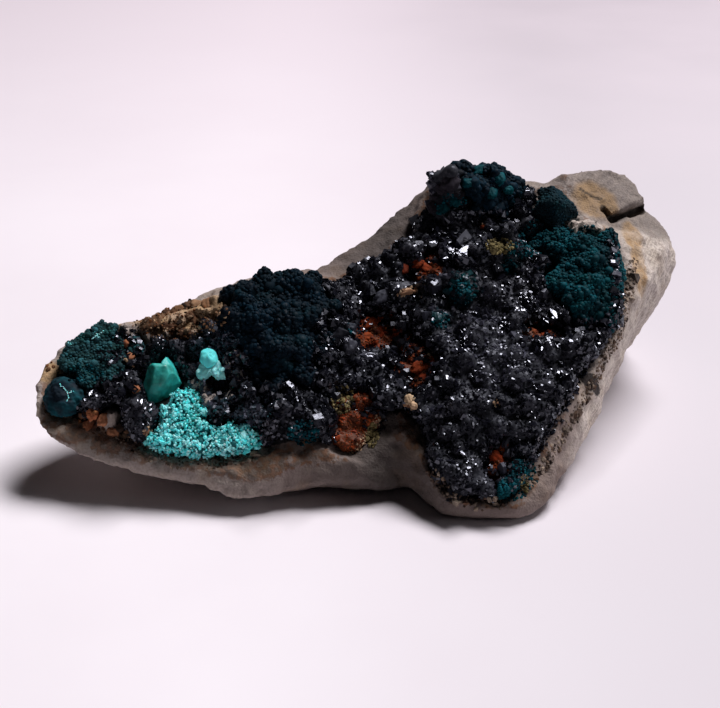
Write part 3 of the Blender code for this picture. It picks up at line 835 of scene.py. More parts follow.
@dataclass(frozen=True)
class GrainFinish:
    """Waxy round grains. The tint holds how light, how green and how dull each grain is."""

    name: str
    deep: Colour
    light: Colour
    green: Colour
    gloss: float = 0.42
    dull: float = 0.35
    specular: float = 0.07
    sheen: float = 0.0
    grit: float = 0.06

    def material(self) -> bpy.types.Material:
        """Wires the finish."""
        work = Finish(
            self.name,
            IOR=1.5,
            Specular_IOR_Level=self.specular,
            Sheen_Weight=self.sheen,
            Sheen_Tint=(0.2, 0.8, 0.8, 1.0),
        )
        bench = work.bench
        tint = bench.attribute(TINT)
        fine = work.effect(EFFECTS.grit, Scale=1 / (self.grit * MM))
        patches = work.effect(EFFECTS.mottle, Scale=1 / (0.9 * MM), Edge=0.22).outputs[0]
        share = bench.calculate("MULTIPLY", tint.outputs[0], bench.ramp(patches, 0.0, 1.0, 0.45, 1.0))
        colour = bench.mix(share, self.deep, self.light)
        colour = bench.mix(tint.outputs[1], colour, self.green)
        colour = bench.mix(bench.calculate("MULTIPLY", fine.outputs["Pits"], 0.5), colour, self.deep)
        rough = bench.calculate("MULTIPLY_ADD", tint.outputs[2], self.dull)
        rough.node.inputs[2].default_value = self.gloss
        normal = bench.bump(fine.outputs["Height"], self.grit * 0.4, 0.8)
        return work.feed(Base_Color=colour, Roughness=rough, Normal=normal)


@dataclass(frozen=True)
class EarthFinish:
    """Matt earthy crumbs. The tint goes from dark over rusty to pale, crumb by crumb."""

    name: str
    dark: Colour
    rust: Colour
    pale: Colour

    def material(self) -> bpy.types.Material:
        """Wires the finish."""
        work = Finish(self.name, IOR=1.5, Specular_IOR_Level=0.2)
        bench = work.bench
        tint = bench.attribute(TINT)
        fine = work.effect(EFFECTS.grit, Scale=1 / (0.07 * MM))
        patches = work.effect(EFFECTS.mottle, Scale=1 / (0.4 * MM), Edge=0.15).outputs[0]
        colour = bench.mix(tint.outputs[0], self.dark, self.rust)
        colour = bench.mix(tint.outputs[1], colour, self.pale)
        colour = bench.mix(bench.calculate("MULTIPLY", patches, 0.4), colour, self.dark)
        rough = bench.calculate("MULTIPLY_ADD", tint.outputs[2], -0.5)
        rough.node.inputs[2].default_value = 0.9
        normal = bench.bump(fine.outputs["Height"], 0.03, 0.9)
        return work.feed(Base_Color=colour, Roughness=rough, Normal=normal)


@dataclass(frozen=True)
class LaceFinish:
    """Porous turquoise crust. The tint holds how pale and how green each bead is, and how much of its body colour it
    keeps over the hollow colour.
    """

    name: str = "chrysocolla"
    # Painted shade: the colour of the hollows between the beads, which the bed takes.
    hollow: Colour = (0.006, 0.110, 0.130)
    body: Colour = (0.110, 0.98, 0.99)
    pale: Colour = (0.62, 0.97, 0.97)
    green: Colour = (0.02, 0.30, 0.20)

    def material(self) -> bpy.types.Material:
        """Wires the finish."""
        work = Finish(
            self.name, IOR=1.5, Specular_IOR_Level=0.25, Subsurface_Weight=0.08, Subsurface_Scale=0.3 * MM
        )
        bench = work.bench
        tint = bench.attribute(TINT)
        fine = work.effect(EFFECTS.grit, Scale=1 / (0.05 * MM))
        colour = bench.mix(tint.outputs[2], self.hollow, self.body)
        colour = bench.mix(tint.outputs[1], colour, self.green)
        colour = bench.mix(tint.outputs[0], colour, self.pale)
        rough = bench.ramp(fine.outputs["Pits"], 0.0, 1.0, 0.5, 0.85)
        normal = bench.bump(fine.outputs["Height"], 0.015, 0.7)
        return work.feed(Base_Color=colour, Roughness=rough, Normal=normal)


@dataclass(frozen=True)
class GemFinish:
    """Green, cloudy and half translucent. The tint's first value turns it turquoise."""

    name: str = "malachite"
    deep: Colour = (0.004, 0.240, 0.200)
    light: Colour = (0.018, 0.560, 0.500)
    turquoise: Colour = (0.020, 0.500, 0.460)

    def material(self) -> bpy.types.Material:
        """Wires the finish."""
        work = Finish(
            self.name,
            IOR=1.65,
            Transmission_Weight=0.12,
            Subsurface_Weight=0.35,
            Subsurface_Scale=0.8 * MM,
        )
        work.shader.inputs["Subsurface Radius"].default_value = (0.2, 1.0, 0.7)
        bench = work.bench
        tint = bench.attribute(TINT)
        clouds = work.effect(EFFECTS.mottle, Scale=1 / (0.8 * MM), Edge=0.2).outputs[0]
        colour = bench.mix(clouds, self.deep, self.light)
        colour = bench.mix(tint.outputs[0], colour, self.turquoise)
        smear = bench.noise(work.where, 0.4, 3.0)
        rough = bench.ramp(smear, 0.3, 0.7, 0.42, 0.72)
        normal = bench.bump(smear, 0.05, 0.5)
        return work.feed(Base_Color=colour, Roughness=rough, Normal=normal)


@dataclass(frozen=True)
class RockFinish:
    """Broken dolomite.

    One painted attribute holds the shares of pale rock, partly painted light on the walls and the left arm, of ochre
    stain and of dark stain, and the other those of brown granular rind, of striated rock and of near-black painted
    shade under the crust, on the recessed front and along the notch slots, which also darkens the upper block and the
    far right.
    """

    name: str = "dolomite"
    grey: Colour = (0.235, 0.182, 0.162)
    brown: Colour = (0.145, 0.108, 0.092)
    pale: Colour = (0.670, 0.595, 0.550)
    cream: Colour = (0.680, 0.600, 0.520)
    ochre: Colour = (0.430, 0.270, 0.130)
    dark: Colour = (0.030, 0.022, 0.020)
    rind: Colour = (0.120, 0.085, 0.064)
    rust: Colour = (0.180, 0.090, 0.052)
    streak: Colour = (0.430, 0.355, 0.315)
    streak_along: Vector = Vector((-0.48, -0.74, -0.48)).normalized()

    def material(self) -> bpy.types.Material:
        """Wires the finish."""
        work = Finish(self.name, IOR=1.5)
        bench = work.bench
        stains = bench.attribute("stains")
        layers = bench.attribute("layers")
        patches = work.effect(EFFECTS.mottle, Scale=1 / (2.6 * MM), Edge=0.2).outputs[0]
        flecks = work.effect(EFFECTS.mottle, Scale=1 / (0.55 * MM), Edge=0.10).outputs[0]
        grit = work.effect(EFFECTS.grit, Scale=1 / (0.22 * MM))
        colour = bench.mix(bench.calculate("MULTIPLY", patches, 0.45), self.grey, self.brown)
        colour = bench.mix(stains.outputs[0], colour, bench.mix(patches, self.pale, self.cream))
        streaks = bench.streaks(work.where, self.streak_along, 0.26, 5.0)
        lined = bench.calculate("MULTIPLY", bench.ramp(streaks, 0.44, 0.62, 0.0, 0.85), layers.outputs[1])
        colour = bench.mix(lined, colour, self.streak)
        ragged = bench.ramp(bench.calculate("ADD", layers.outputs[0], bench.calculate("MULTIPLY", flecks, 0.35)), 0.7, 1.1)
        colour = bench.mix(ragged, colour, bench.mix(flecks, self.rind, self.rust))
        ragged = bench.ramp(bench.calculate("ADD", stains.outputs[1], bench.calculate("MULTIPLY", patches, 0.6)), 0.3, 1.5)
        colour = bench.mix(ragged, colour, self.ochre)
        pale_flecks = bench.calculate("MULTIPLY", bench.calculate("MULTIPLY", flecks, 0.3), stains.outputs[0])
        speckled = bench.mix(pale_flecks, colour, self.cream)
        colour = bench.mix(bench.calculate("MULTIPLY", grit.outputs["Pits"], 0.28), speckled, self.brown)
        ragged = bench.ramp(bench.calculate("ADD", stains.outputs[2], bench.calculate("MULTIPLY", flecks, 0.3)), 0.4, 0.9)
        colour = bench.mix(ragged, colour, self.dark)
        # Painted shade: near black by the layers' third share.
        colour = bench.mix(layers.outputs[2], colour, (0.006, 0.006, 0.006))
        height = bench.calculate("ADD", grit.outputs["Height"], bench.noise(work.where, 0.7, 4.0, 0.6))
        height = bench.calculate("ADD", height, bench.calculate("MULTIPLY", streaks, layers.outputs[1]))
        rough = bench.ramp(flecks, 0.0, 1.0, 0.82, 0.95)
        return work.feed(Base_Color=colour, Roughness=rough, Normal=bench.bump(height, 0.09, 0.8))


@dataclass(frozen=True)
class VelvetCrustFinish:
    """A smooth blue-black crust. The tint holds how teal it is and where its pale crack runs."""

    name: str = "azure_crust"
    black: Colour = (0.003, 0.010, 0.018)
    teal: Colour = (0.006, 0.070, 0.090)
    crack: Colour = (0.060, 0.420, 0.420)

    def material(self) -> bpy.types.Material:
        """Wires the finish."""
        work = Finish(self.name, IOR=1.5, Specular_IOR_Level=0.12)
        bench = work.bench
        tint = bench.attribute(TINT)
        clouds = work.effect(EFFECTS.mottle, Scale=1 / (1.1 * MM), Edge=0.22).outputs[0]
        fine = work.effect(EFFECTS.grit, Scale=1 / (0.10 * MM))
        share = bench.calculate("MULTIPLY", clouds, tint.outputs[0])
        colour = bench.mix(share, self.black, self.teal)
        colour = bench.mix(tint.outputs[1], colour, self.crack)
        rough = bench.ramp(clouds, 0.0, 1.0, 0.65, 0.9)
        return work.feed(Base_Color=colour, Roughness=rough, Normal=bench.bump(fine.outputs["Height"], 0.02, 0.7))


# The studio


@dataclass(frozen=True)
class Studio:
    """A pale floor, soft light from above and behind, and the camera. Places are in metres."""

    camera_place: Vector = VIEWPOINT
    camera_down: float = math.radians(26.9)
    lens: float = 67.65
    sensor: float = 36.0
    key_place: Vector = Vector((0.23, 0.24, 0.58))
    key_size: tuple[float, float] = (0.36, 0.20)
    key_watts: float = 6.3
    floor_size: float = 3.0
    floor_colour: Colour = (0.905, 0.865, 0.91)
    far_floor_shade_and_mottle: Colour = (0.66, 0.59, 0.64)
    side_shade: Colour = (0.69, 0.69, 0.70)
    fill_place: Vector = Vector((0.55, -0.06, 0.16))
    fill_size: tuple[float, float] = (0.3, 0.2)
    fill_watts: float = 0.5
    sky_colour: Colour = (0.92, 0.89, 0.95)
    sky_strength: float = 0.007

    def half_way(self, point: Array) -> Array:
        """Gives the direction that a face has to point in to mirror the key light into the camera."""
        to_camera = unit(np.array([self.camera_place]) - point)
        to_key = unit(np.array([self.key_place]) - point)
        return unit(to_camera + to_key)

    def build(self) -> None:
        """Sets up floor, light and camera."""
        self.lay_floor()
        self.hang_lights()
        self.place_camera()

    def lay_floor(self) -> None:
        """Makes the floor, with painted shade darker towards the back and the right, and gently mottled so that it
        isn't one flat colour.
        """
        floor = start_piece(bpy.ops.mesh.primitive_plane_add, size=self.floor_size)
        floor.name = "floor"
        bpy.ops.mesh.subdivide(number_cuts=8)
        bpy.ops.object.mode_set(mode="OBJECT")
        work = Finish("floor", Roughness=0.75)
        patches = work.effect(EFFECTS.mottle, Scale=25.0, Edge=0.3).outputs[0]
        across, along, _ = work.bench.node("ShaderNodeSeparateXYZ", {0: work.where}).outputs
        # Painted shade: darker towards the back, and darker towards the right by the side shade.
        tone = work.bench.mix(work.bench.ramp(along, -0.05, 0.22), self.floor_colour, self.far_floor_shade_and_mottle)
        tone = work.bench.mix(work.bench.ramp(across, -0.025, 0.04), tone, self.side_shade, "MULTIPLY")
        tone = work.bench.mix(work.bench.calculate("MULTIPLY", patches, 0.3), tone, self.far_floor_shade_and_mottle)
        floor.data.materials.append(work.feed(Base_Color=tone))

    def hang_lights(self) -> None:
        """Makes the two lights and the dim sky."""
        self.hang("key", self.key_place, self.key_size, self.key_watts)
        self.hang("fill", self.fill_place, self.fill_size, self.fill_watts)
        world = bpy.data.worlds.new("studio")
        world.use_nodes = True
        sky = world.node_tree.nodes["Background"]
        sky.inputs["Color"].default_value = solid(self.sky_colour)
        sky.inputs["Strength"].default_value = self.sky_strength
        bpy.context.scene.world = world

    def hang(self, name: str, place: Vector, size: tuple[float, float], watts: float) -> None:
        """Makes one soft light that points at the specimen."""
        bpy.ops.object.light_add(type="AREA", location=place)
        lamp = bpy.context.object
        lamp.name = name
        lamp.data.shape = "RECTANGLE"
        lamp.data.size, lamp.data.size_y = size
        lamp.data.energy = watts
        lamp.data.color = (1.0, 0.965, 0.985)
        lamp.rotation_euler = (-place).to_track_quat("-Z", "Y").to_euler()

    def place_camera(self) -> None:
        """Makes the camera at the photographed view."""
        bpy.ops.object.camera_add(
            location=self.camera_place, rotation=(math.pi / 2 - self.camera_down, 0.0, 0.0)
        )
        camera = bpy.context.object
        camera.data.lens = self.lens
        camera.data.sensor_width = self.sensor
        camera.data.sensor_fit = "HORIZONTAL"
        camera.data.clip_start = 0.001
        bpy.context.scene.camera = camera
        bpy.context.scene.view_settings.view_transform = "Standard"


STUDIO = Studio()


# The specimen


@dataclass(frozen=True)
class Notch:
    """A wedge cut out of the rock where it has broken in steps, in millimetres and radians."""

    p: float
    q: float
    size: Colour
    turn: float
    lean: float

    def cut(self, rock: bpy.types.Object) -> None:
        """Takes the wedge out of the rock, where the line of sight meets it."""
        place = Ground([rock.data]).drop(np.array([self.p]), np.array([self.q])).points[0]
        wedge = start_piece(bpy.ops.mesh.primitive_cube_add, size=1.0)
        bpy.ops.transform.resize(value=[side * MM for side in self.size])
        bpy.ops.transform.rotate(value=-self.turn, orient_axis="Z", center_override=(0.0, 0.0, 0.0))
        lean = FACE.tilt + self.lean
        bpy.ops.transform.rotate(value=-lean, orient_axis="X", center_override=(0.0, 0.0, 0.0))
        bpy.ops.transform.translate(value=place)
        close_piece()
        apply_modifier(rock, "BOOLEAN", operation="DIFFERENCE", object=wedge, solver="EXACT")
        bpy.data.objects.remove(wedge)


@dataclass(frozen=True)
class Pull:
    """A soft shift of the rock's surface round a place, in millimetres."""

    middle: Colour
    reach: float
    shift: Colour

    def move(self, rock: bpy.types.Object) -> None:
        """Shifts the vertices, less and less towards the reach."""
        places = coordinates(rock.data)
        away = np.linalg.norm(places / MM - np.array(self.middle), axis=1) / self.reach
        share = np.clip(1 - away**2, 0, 1) ** 2
        moved = places + share[:, None] * np.array(self.shift) * MM
        rock.data.vertices.foreach_set("co", moved.ravel())
        rock.data.update()


@dataclass
class Dolomite:
    """The wedge of dolomite under the crust."""

    node: str = "dolomite_matrix"
    voxel: float = 0.27
    sole: float = 0.35
    sole_blend: float = 1.2
    reliefs: tuple[Relief, ...] = (
        Relief("CLOUDS", 2.4, 0.50, 2),
        Relief("VORONOI", 1.5, 0.30),
        Relief("CLOUDS", 0.6, 0.20, 2),
    )
    pale_spots: tuple[Spot, ...] = (Spot(30.5, 27.5, 4.5, 4.0),)
    ochre_spots: tuple[Spot, ...] = (
        Spot(23.9, 33.9, 1.9, 2.0),
        Spot(27.4, 30.2, 0.9, 1.6),
        Spot(-29.2, 13.4, 0.9, 1.0),
        Spot(-17.1, 19.4, 4.6, 1.6),
        Spot(27.6, 26.0, 0.7, 2.2),
    )
    dark_spots: tuple[Spot, ...] = (Spot(31.9, 24.0, 0.9, 1.2), Spot(21.7, 12.9, 0.9, 0.6))
    notches: tuple[Notch, ...] = (
        Notch(26.6, 30.9, (4.8, 1.0, 6.0), 0.46, 0.35),
        Notch(24.6, 30.7, (1.8, 0.9, 4.0), -0.9, 0.35),
        Notch(23.2, 33.1, (2.6, 0.34, 1.6), -0.62, 0.0),
    )
    # Painted shade: spots strung along the notch slots, painted dark where the rock faces the camera.
    notch_shade_lines: tuple[Spot, ...] = (
        *spots_along(((24.1, 31.5), (25.0, 29.9), (28.4, 31.7)), 0.27),
        *spots_along(((22.0, 33.9), (23.0, 33.0), (24.1, 32.5)), 0.13),
    )
    pulls: tuple[Pull, ...] = (
        Pull((27.5, 6.0, 2.0), 11.0, (-2.0, 0.4, 0.0)),
        Pull((24.5, -2.0, 2.0), 7.0, (-1.0, 0.2, 0.0)),
        Pull((27.6, 6.0, 18.3), 2.6, (0.8, 0.0, 0.4)),
    )

    def build(self) -> bpy.types.Object:
        """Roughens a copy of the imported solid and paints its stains."""
        rock = merged_copy(self.node, "dolomite_rock")
        for notch in self.notches:
            notch.cut(rock)
        apply_modifier(rock, "REMESH", mode="VOXEL", voxel_size=self.voxel * MM, adaptivity=0.0)
        self.weigh(rock)
        for relief in self.reliefs:
            relief.carve(rock, "rough")
        for pull in self.pulls:
            pull.move(rock)
        self.flatten_sole(rock)
        self.paint(rock)
        rock.vertex_groups.clear()
        bpy.ops.object.select_all(action="DESELECT")
        rock.select_set(True)
        bpy.context.view_layer.objects.active = rock
        bpy.ops.object.shade_smooth_by_angle(angle=math.radians(42.0))
        dress(rock, RockFinish().material(), "dolomite", self.node)
        return rock

    def weigh(self, rock: bpy.types.Object) -> None:
        """Keeps the sole out of the roughening."""
        height = coordinates(rock.data)[:, 2] / MM
        weights = np.clip((height - self.sole) / self.sole_blend, 0.0, 1.0)
        group = rock.vertex_groups.new(name="rough")
        for step in range(1, 11):
            band = np.flatnonzero(np.round(weights * 10) == step)
            group.add(band.tolist(), step / 10, "REPLACE")

    def flatten_sole(self, rock: bpy.types.Object) -> None:
        """Puts whatever came near the ground exactly on it."""
        low = coordinates(rock.data)[:, 2] < 0.06 * MM
        rock.data.polygons.foreach_set("select", np.zeros(len(rock.data.polygons), bool))
        rock.data.edges.foreach_set("select", np.zeros(len(rock.data.edges), bool))
        rock.data.vertices.foreach_set("select", low)
        bpy.ops.object.mode_set(mode="EDIT")
        bpy.ops.transform.resize(value=(1.0, 1.0, 0.0), center_override=(0.0, 0.0, 0.0))
        bpy.ops.object.mode_set(mode="OBJECT")

    def paint(self, rock: bpy.types.Object) -> None:
        """Paints the stains and layers by place, among them painted light and painted shade."""
        places = coordinates(rock.data)
        spots = FACE.read(places)
        x, y, z = (places / MM).T
        wander = np.array([noise.noise(Vector(place) * 320.0) for place in places])
        to_right = np.clip((x - 13.0 + 0.35 * y + 3.0 * wander) / 4.0, 0.0, 1.0)
        upper = np.clip((spots[:, 1] - 30.5 + 2.0 * wander) / 1.5, 0.0, 1.0)
        # Painted light: the left arm's rock, and the walls below the face on the right, are painted paler.
        left_light = np.clip((-x - 8.0 + 3.0 * wander) / 6.0, 0.0, 1.0)
        lit_wall = np.clip((-spots[:, 2] - 1.0) / 2.0, 0.0, 1.0)
        pale = to_right * (0.5 + 0.5 * lit_wall) * (1 - 0.7 * upper)
        pale = np.maximum(pale, 0.5 * shares(self.pale_spots, spots, 0.6))
        pale = np.maximum(pale, 0.3 * left_light)
        ochre = shares(self.ochre_spots, spots, 0.5) * (spots[:, 2] > -3.5)
        dark = shares(self.dark_spots, spots, 0.5)
        # Painted shade: darker on the recessed front below the middle of the face.
        recess_shade = np.exp(-(((x - 1.0 + 1.5 * wander) / 5.4) ** 2)) * np.clip(-1.5 * spots[:, 2] - 0.6, 0, 1)
        normals = np.zeros(places.size)
        rock.data.vertices.foreach_get("normal", normals)
        facing = np.sum(normals.reshape(-1, 3) * (np.array(VIEWPOINT) - places), axis=1) > 0
        notch_shade_lines = shares(self.notch_shade_lines, FACE.read_sighted(places), 0.6) * facing
        block = 0.31 * upper * np.clip((x - 9.0) / 3.0, 0, 1) + 0.14 * np.clip((x - 20.0) / 4.0, 0, 1)
        # Painted shade: near black under the crust, on the recessed front and along the notch slots; the share also
        # darkens the upper block and the far right.
        painted_shade = np.maximum.reduce([self.covered(places), 0.7 * recess_shade, 0.85 * notch_shade_lines, block])
        depth = -spots[:, 2] - 0.6
        rind = np.clip(1.1 - np.abs(depth) / (0.55 + 0.35 * wander), 0.0, 1.0)
        paint(rock.data, "stains", (pale, ochre, dark))
        paint(rock.data, "layers", (rind, to_right, painted_shade))

    def covered(self, places: Array) -> Array:
        """Finds what the crust covers, by looking out of the face from each place."""
        above = Ground(node.data for name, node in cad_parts.items() if name != self.node).tree()
        share = np.zeros(len(places))
        for number, place in enumerate(places):
            start = Vector(place) + FACE.outward * 0.02 * MM
            if above.ray_cast(start, FACE.outward, 3.0 * MM)[0] is not None:
                share[number] = 1.0
        return share


@dataclass(frozen=True)
class Layer:
    """Grains of one size in a crust, in millimetres."""

    size: float
    pitch: float
    share: float = 1.0
    tall: float = 1.0
    spread: float = 0.22
    sink: float = 0.12
    spots: tuple[Spot, ...] = ()
    keep_off: tuple[Spot, ...] = ()
    kinds: Optional[int] = None


@dataclass
class Crust:
    """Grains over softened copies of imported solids, or over spots of a surface."""

    name: str
    slot: str
    shapes: Sequence[Shape]
    layers: tuple[Layer, ...]
    nodes: tuple[str, ...] = ()
    voxel: float = 0.2
    soften: int = 8
    reliefs: tuple[Relief, ...] = ()
    pulls: tuple[Pull, ...] = ()
    bed_tint: Colour = (0.1, 0.2, 0.7)
    bed_drop: float = 0.0
    least_lift: float = -0.1
    lean: float = 0.25
    seed: int = SEED

    def build(self, material: bpy.types.Material, ground: Optional[Ground] = None) -> bpy.types.Object:
        """Grows the crust.

        Args:
            material: its material.
            ground: the surface under it, where it doesn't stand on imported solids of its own.

        Returns:
            The finished piece.
        """
        rng = np.random.default_rng(self.seed)
        swarm = Swarm(self.name)
        if ground is not None:
            self.cover(swarm, ground, rng)
        for node in self.nodes:
            bed = self.bed(node)
            self.cover(swarm, Ground([bed.data]), rng)
            swarm.add_mesh(bed, self.bed_tint)
        piece = swarm.build()
        dress(piece, material, self.slot, *self.nodes)
        return piece

    def bed(self, node: str) -> bpy.types.Object:
        """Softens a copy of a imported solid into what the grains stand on."""
        bed = merged_copy(node, self.name + "_bed")
        apply_modifier(bed, "REMESH", mode="VOXEL", voxel_size=self.voxel * MM, adaptivity=0.0)
        if self.soften:
            apply_modifier(bed, "SMOOTH", factor=0.5, iterations=self.soften)
        for relief in self.reliefs:
            relief.carve(bed)
        for pull in self.pulls:
            pull.move(bed)
        lowered = coordinates(bed.data) - np.array(FACE.outward) * self.bed_drop * MM
        bed.data.vertices.foreach_set("co", lowered.ravel())
        return bed

    def cover(self, swarm: Swarm, ground: Ground, rng: np.random.Generator) -> None:
        """Adds every layer's grains to the swarm."""
        for layer in self.layers:
            if layer.spots:
                places = self.spotted(layer, ground, rng)
            else:
                places = ground.scatter(layer.pitch, rng, self.least_lift)
            spots = FACE.read(places.points)
            chance = layer.share * (1 - shares(layer.keep_off, spots, 0.2))
            places = places.picked(rng.random(len(spots)) < chance)
            places = places.spread(layer.pitch * rng.uniform(0.8, 1.2, len(places.points)), rng)
            self.set_grains(swarm, layer, places, rng)

    def spotted(self, layer: Layer, ground: Ground, rng: np.random.Generator) -> Places:
        """Gives places inside the layer's spots, thinning out at their edges."""
        p = []
        q = []
        for spot in layer.spots:
            count = int(14 * spot.radius_p * spot.radius_q / layer.pitch**2)
            radius = 1.15 * rng.random(count) ** 0.6
            angle = rng.uniform(0, math.tau, count)
            p.append(spot.p + spot.radius_p * radius * np.cos(angle))
            q.append(spot.q + spot.radius_q * radius * np.sin(angle))
        places = ground.drop(np.concatenate(p), np.concatenate(q))
        outward = np.broadcast_to(np.array(FACE.outward), places.normals.shape)
        return Places(places.points, unit(places.normals + outward))

    def set_grains(self, swarm: Swarm, layer: Layer, places: Places, rng: np.random.Generator) -> None:
        """Adds one layer's grains at its places."""
        count = len(places.points)
        axes, spins = self.directions(places, rng)
        scale = layer.size * rng.lognormal(0.0, layer.spread, count)
        sizes = scale[:, None] * rng.uniform(0.78, 1.22, (count, 3)) * MM
        sizes[:, 2] *= layer.tall
        tints = self.tints(layer, places, rng)
        feet = places.points - axes * sizes[:, 2:] * layer.sink
        kinds = rng.integers(0, layer.kinds or len(self.shapes), count)
        for kind, shape in enumerate(self.shapes):
            chosen = kinds == kind
            frames = frames_along(axes[chosen], spins[chosen], sizes[chosen])
            swarm.add(shape, frames, feet[chosen], tints[chosen])

    def directions(self, places: Places, rng: np.random.Generator) -> tuple[Array, Array]:
        """Gives each grain its axis and its turn about it."""
        count = len(places.points)
        axes = unit(places.normals + rng.normal(0.0, self.lean, (count, 3)))
        return axes, rng.uniform(0, math.tau, count)

    def tints(self, layer: Layer, places: Places, rng: np.random.Generator) -> Array:
        """Gives each grain its three tint values."""
        return rng.random((len(places.points), 3))


@dataclass(frozen=True)
class Glint:
    """A cluster of facets that mirror the light."""

    p: float
    q: float
    reach: float
    count: int
    size: float = 0.32
    long: float = 1.3


@dataclass
class Druse(Crust):
    """Crystals in small groups of nearly the same direction, with clusters of facets that glint."""

    group_pitch: float = 1.5
    group_lean: float = 0.5
    teal_spots: tuple[Spot, ...] = ()
    grey_spots: tuple[Spot, ...] = ()
    glints: tuple[Glint, ...] = ()
    facet: Optional[Shape] = None
    groups: Optional[tuple[KDTree, Array, Array]] = None

    def cover(self, swarm: Swarm, ground: Ground, rng: np.random.Generator) -> None:
        """Chooses the groups, then adds the crystals and the glinting facets."""
        places = ground.scatter(self.group_pitch, rng, self.least_lift)
        places = places.spread(np.full(len(places.points), self.group_pitch), rng)
        tree = KDTree(len(places.points))
        for number, point in enumerate(places.points):
            tree.insert(point, number)
        tree.balance()
        leaning = rng.normal(0.0, self.group_lean, (len(places.points), 3))
        axes = unit(np.array(FACE.outward) + 0.5 * places.normals + leaning)
        self.groups = (tree, axes, rng.uniform(0, math.tau, len(places.points)))
        super().cover(swarm, ground, rng)
        for glint in self.glints:
            self.add_glint(swarm, glint, ground, rng)

    def directions(self, places: Places, rng: np.random.Generator) -> tuple[Array, Array]:
        """Turns each crystal nearly as its group."""
        tree, group_axes, group_spins = self.groups
        count = len(places.points)
        owner = np.array([tree.find(point)[1] for point in places.points], int)
        axes = unit(group_axes[owner] + 0.7 * places.normals + rng.normal(0.0, self.lean, (count, 3)))
        return axes, group_spins[owner] + rng.normal(0.0, 0.35, count)

    def tints(self, layer: Layer, places: Places, rng: np.random.Generator) -> Array:
        """Makes crystals teal or grey by place, and some of them dull."""
        count = len(places.points)
        spots = FACE.read(places.points)
        clouds = np.array([noise.noise(Vector(point) * 420.0) for point in places.points])
        teal = np.clip(shares(self.teal_spots, spots) * rng.uniform(0.5, 1.1, count), 0, 1)
        # Grey crystals: partly a dusty coating, partly painted sheen on the lumps, and greyer to the right.
        grey = np.clip(shares(self.grey_spots, spots) * rng.uniform(0.4, 1.0, count), 0, 1)
        cloudy = np.clip(1.6 * clouds + 0.15, 0, 1) * np.clip((spots[:, 0] - 3.0) / 4.0, 0.15, 1.0)
        grey = np.maximum(grey, cloudy * rng.random(count))
        dull = np.clip(0.1 + 0.7 * rng.beta(1.0, 3.4, count) + 0.5 * grey + 0.35 * (layer.size > 0.5), 0, 1)
        return np.stack([teal, grey, dull], axis=1)

    def add_glint(self, swarm: Swarm, glint: Glint, ground: Ground, rng: np.random.Generator) -> None:
        """Adds one cluster of glinting facets."""
        angle = rng.uniform(0, math.tau, glint.count)
        radius = glint.reach * np.sqrt(rng.random(glint.count))
        places = ground.drop(glint.p + radius * np.cos(angle), glint.q + radius * np.sin(angle))
        count = len(places.points)
        if not count:
            return
        axes = unit(STUDIO.half_way(places.points) + rng.normal(0.0, 0.12, (count, 3)))
        size = 0.5 * glint.size * rng.lognormal(0.0, 0.5, count) * MM
        sizes = np.stack([size * glint.long * 1.5, size * 0.7, size * 0.8], axis=1)
        spins = rng.normal(0.4, 0.4, count)
        tints = np.stack([np.zeros(count), 0.3 * rng.random(count), np.zeros(count)], axis=1)
        lifted = places.points + np.array(FACE.outward) * (0.08 + 0.16 * rng.random(count))[:, None] * MM
        swarm.add(self.facet, frames_along(axes, spins, sizes), lifted, tints)


@dataclass
class Botryoidal(Crust):
    """Round grains in rounded groups."""

    light: float = 0.5
    green: float = 0.0
    patch: float = 1.6

    def tints(self, layer: Layer, places: Places, rng: np.random.Generator) -> Array:
        """Lightens the grains in patches."""
        count = len(places.points)
        frequency = 1 / (self.patch * MM)
        patches = np.array([noise.noise(Vector(point) * frequency) for point in places.points])
        turns = np.array([noise.noise(Vector(point) * frequency + Vector((7.3, 1.1, 4.2))) for point in places.points])
        light = np.clip(self.light * rng.uniform(0.4, 1.6, count) + 0.7 * patches, 0, 1)
        green = np.clip(self.green + 0.8 * turns + rng.normal(0.0, 0.1, count), 0, 1)
        return np.stack([light, green, rng.random(count)], axis=1)


@dataclass
class Earth(Crust):
    """Rusty, ochre or pale crumbs."""

    rust: float = 0.6
    pale: float = 0.15
    mix: float = 0.18

    def tints(self, layer: Layer, places: Places, rng: np.random.Generator) -> Array:
        """Mixes dark, rusty and pale crumbs."""
        count = len(places.points)
        clouds = np.array([noise.noise(Vector(point) * 1100.0) for point in places.points])
        rust = np.clip(rng.normal(self.rust, self.mix, count) + 0.7 * clouds, 0, 1)
        pale = np.clip(rng.normal(self.pale, self.mix, count), 0, 1)
        return np.stack([rust, pale, rng.random(count) ** 5], axis=1)


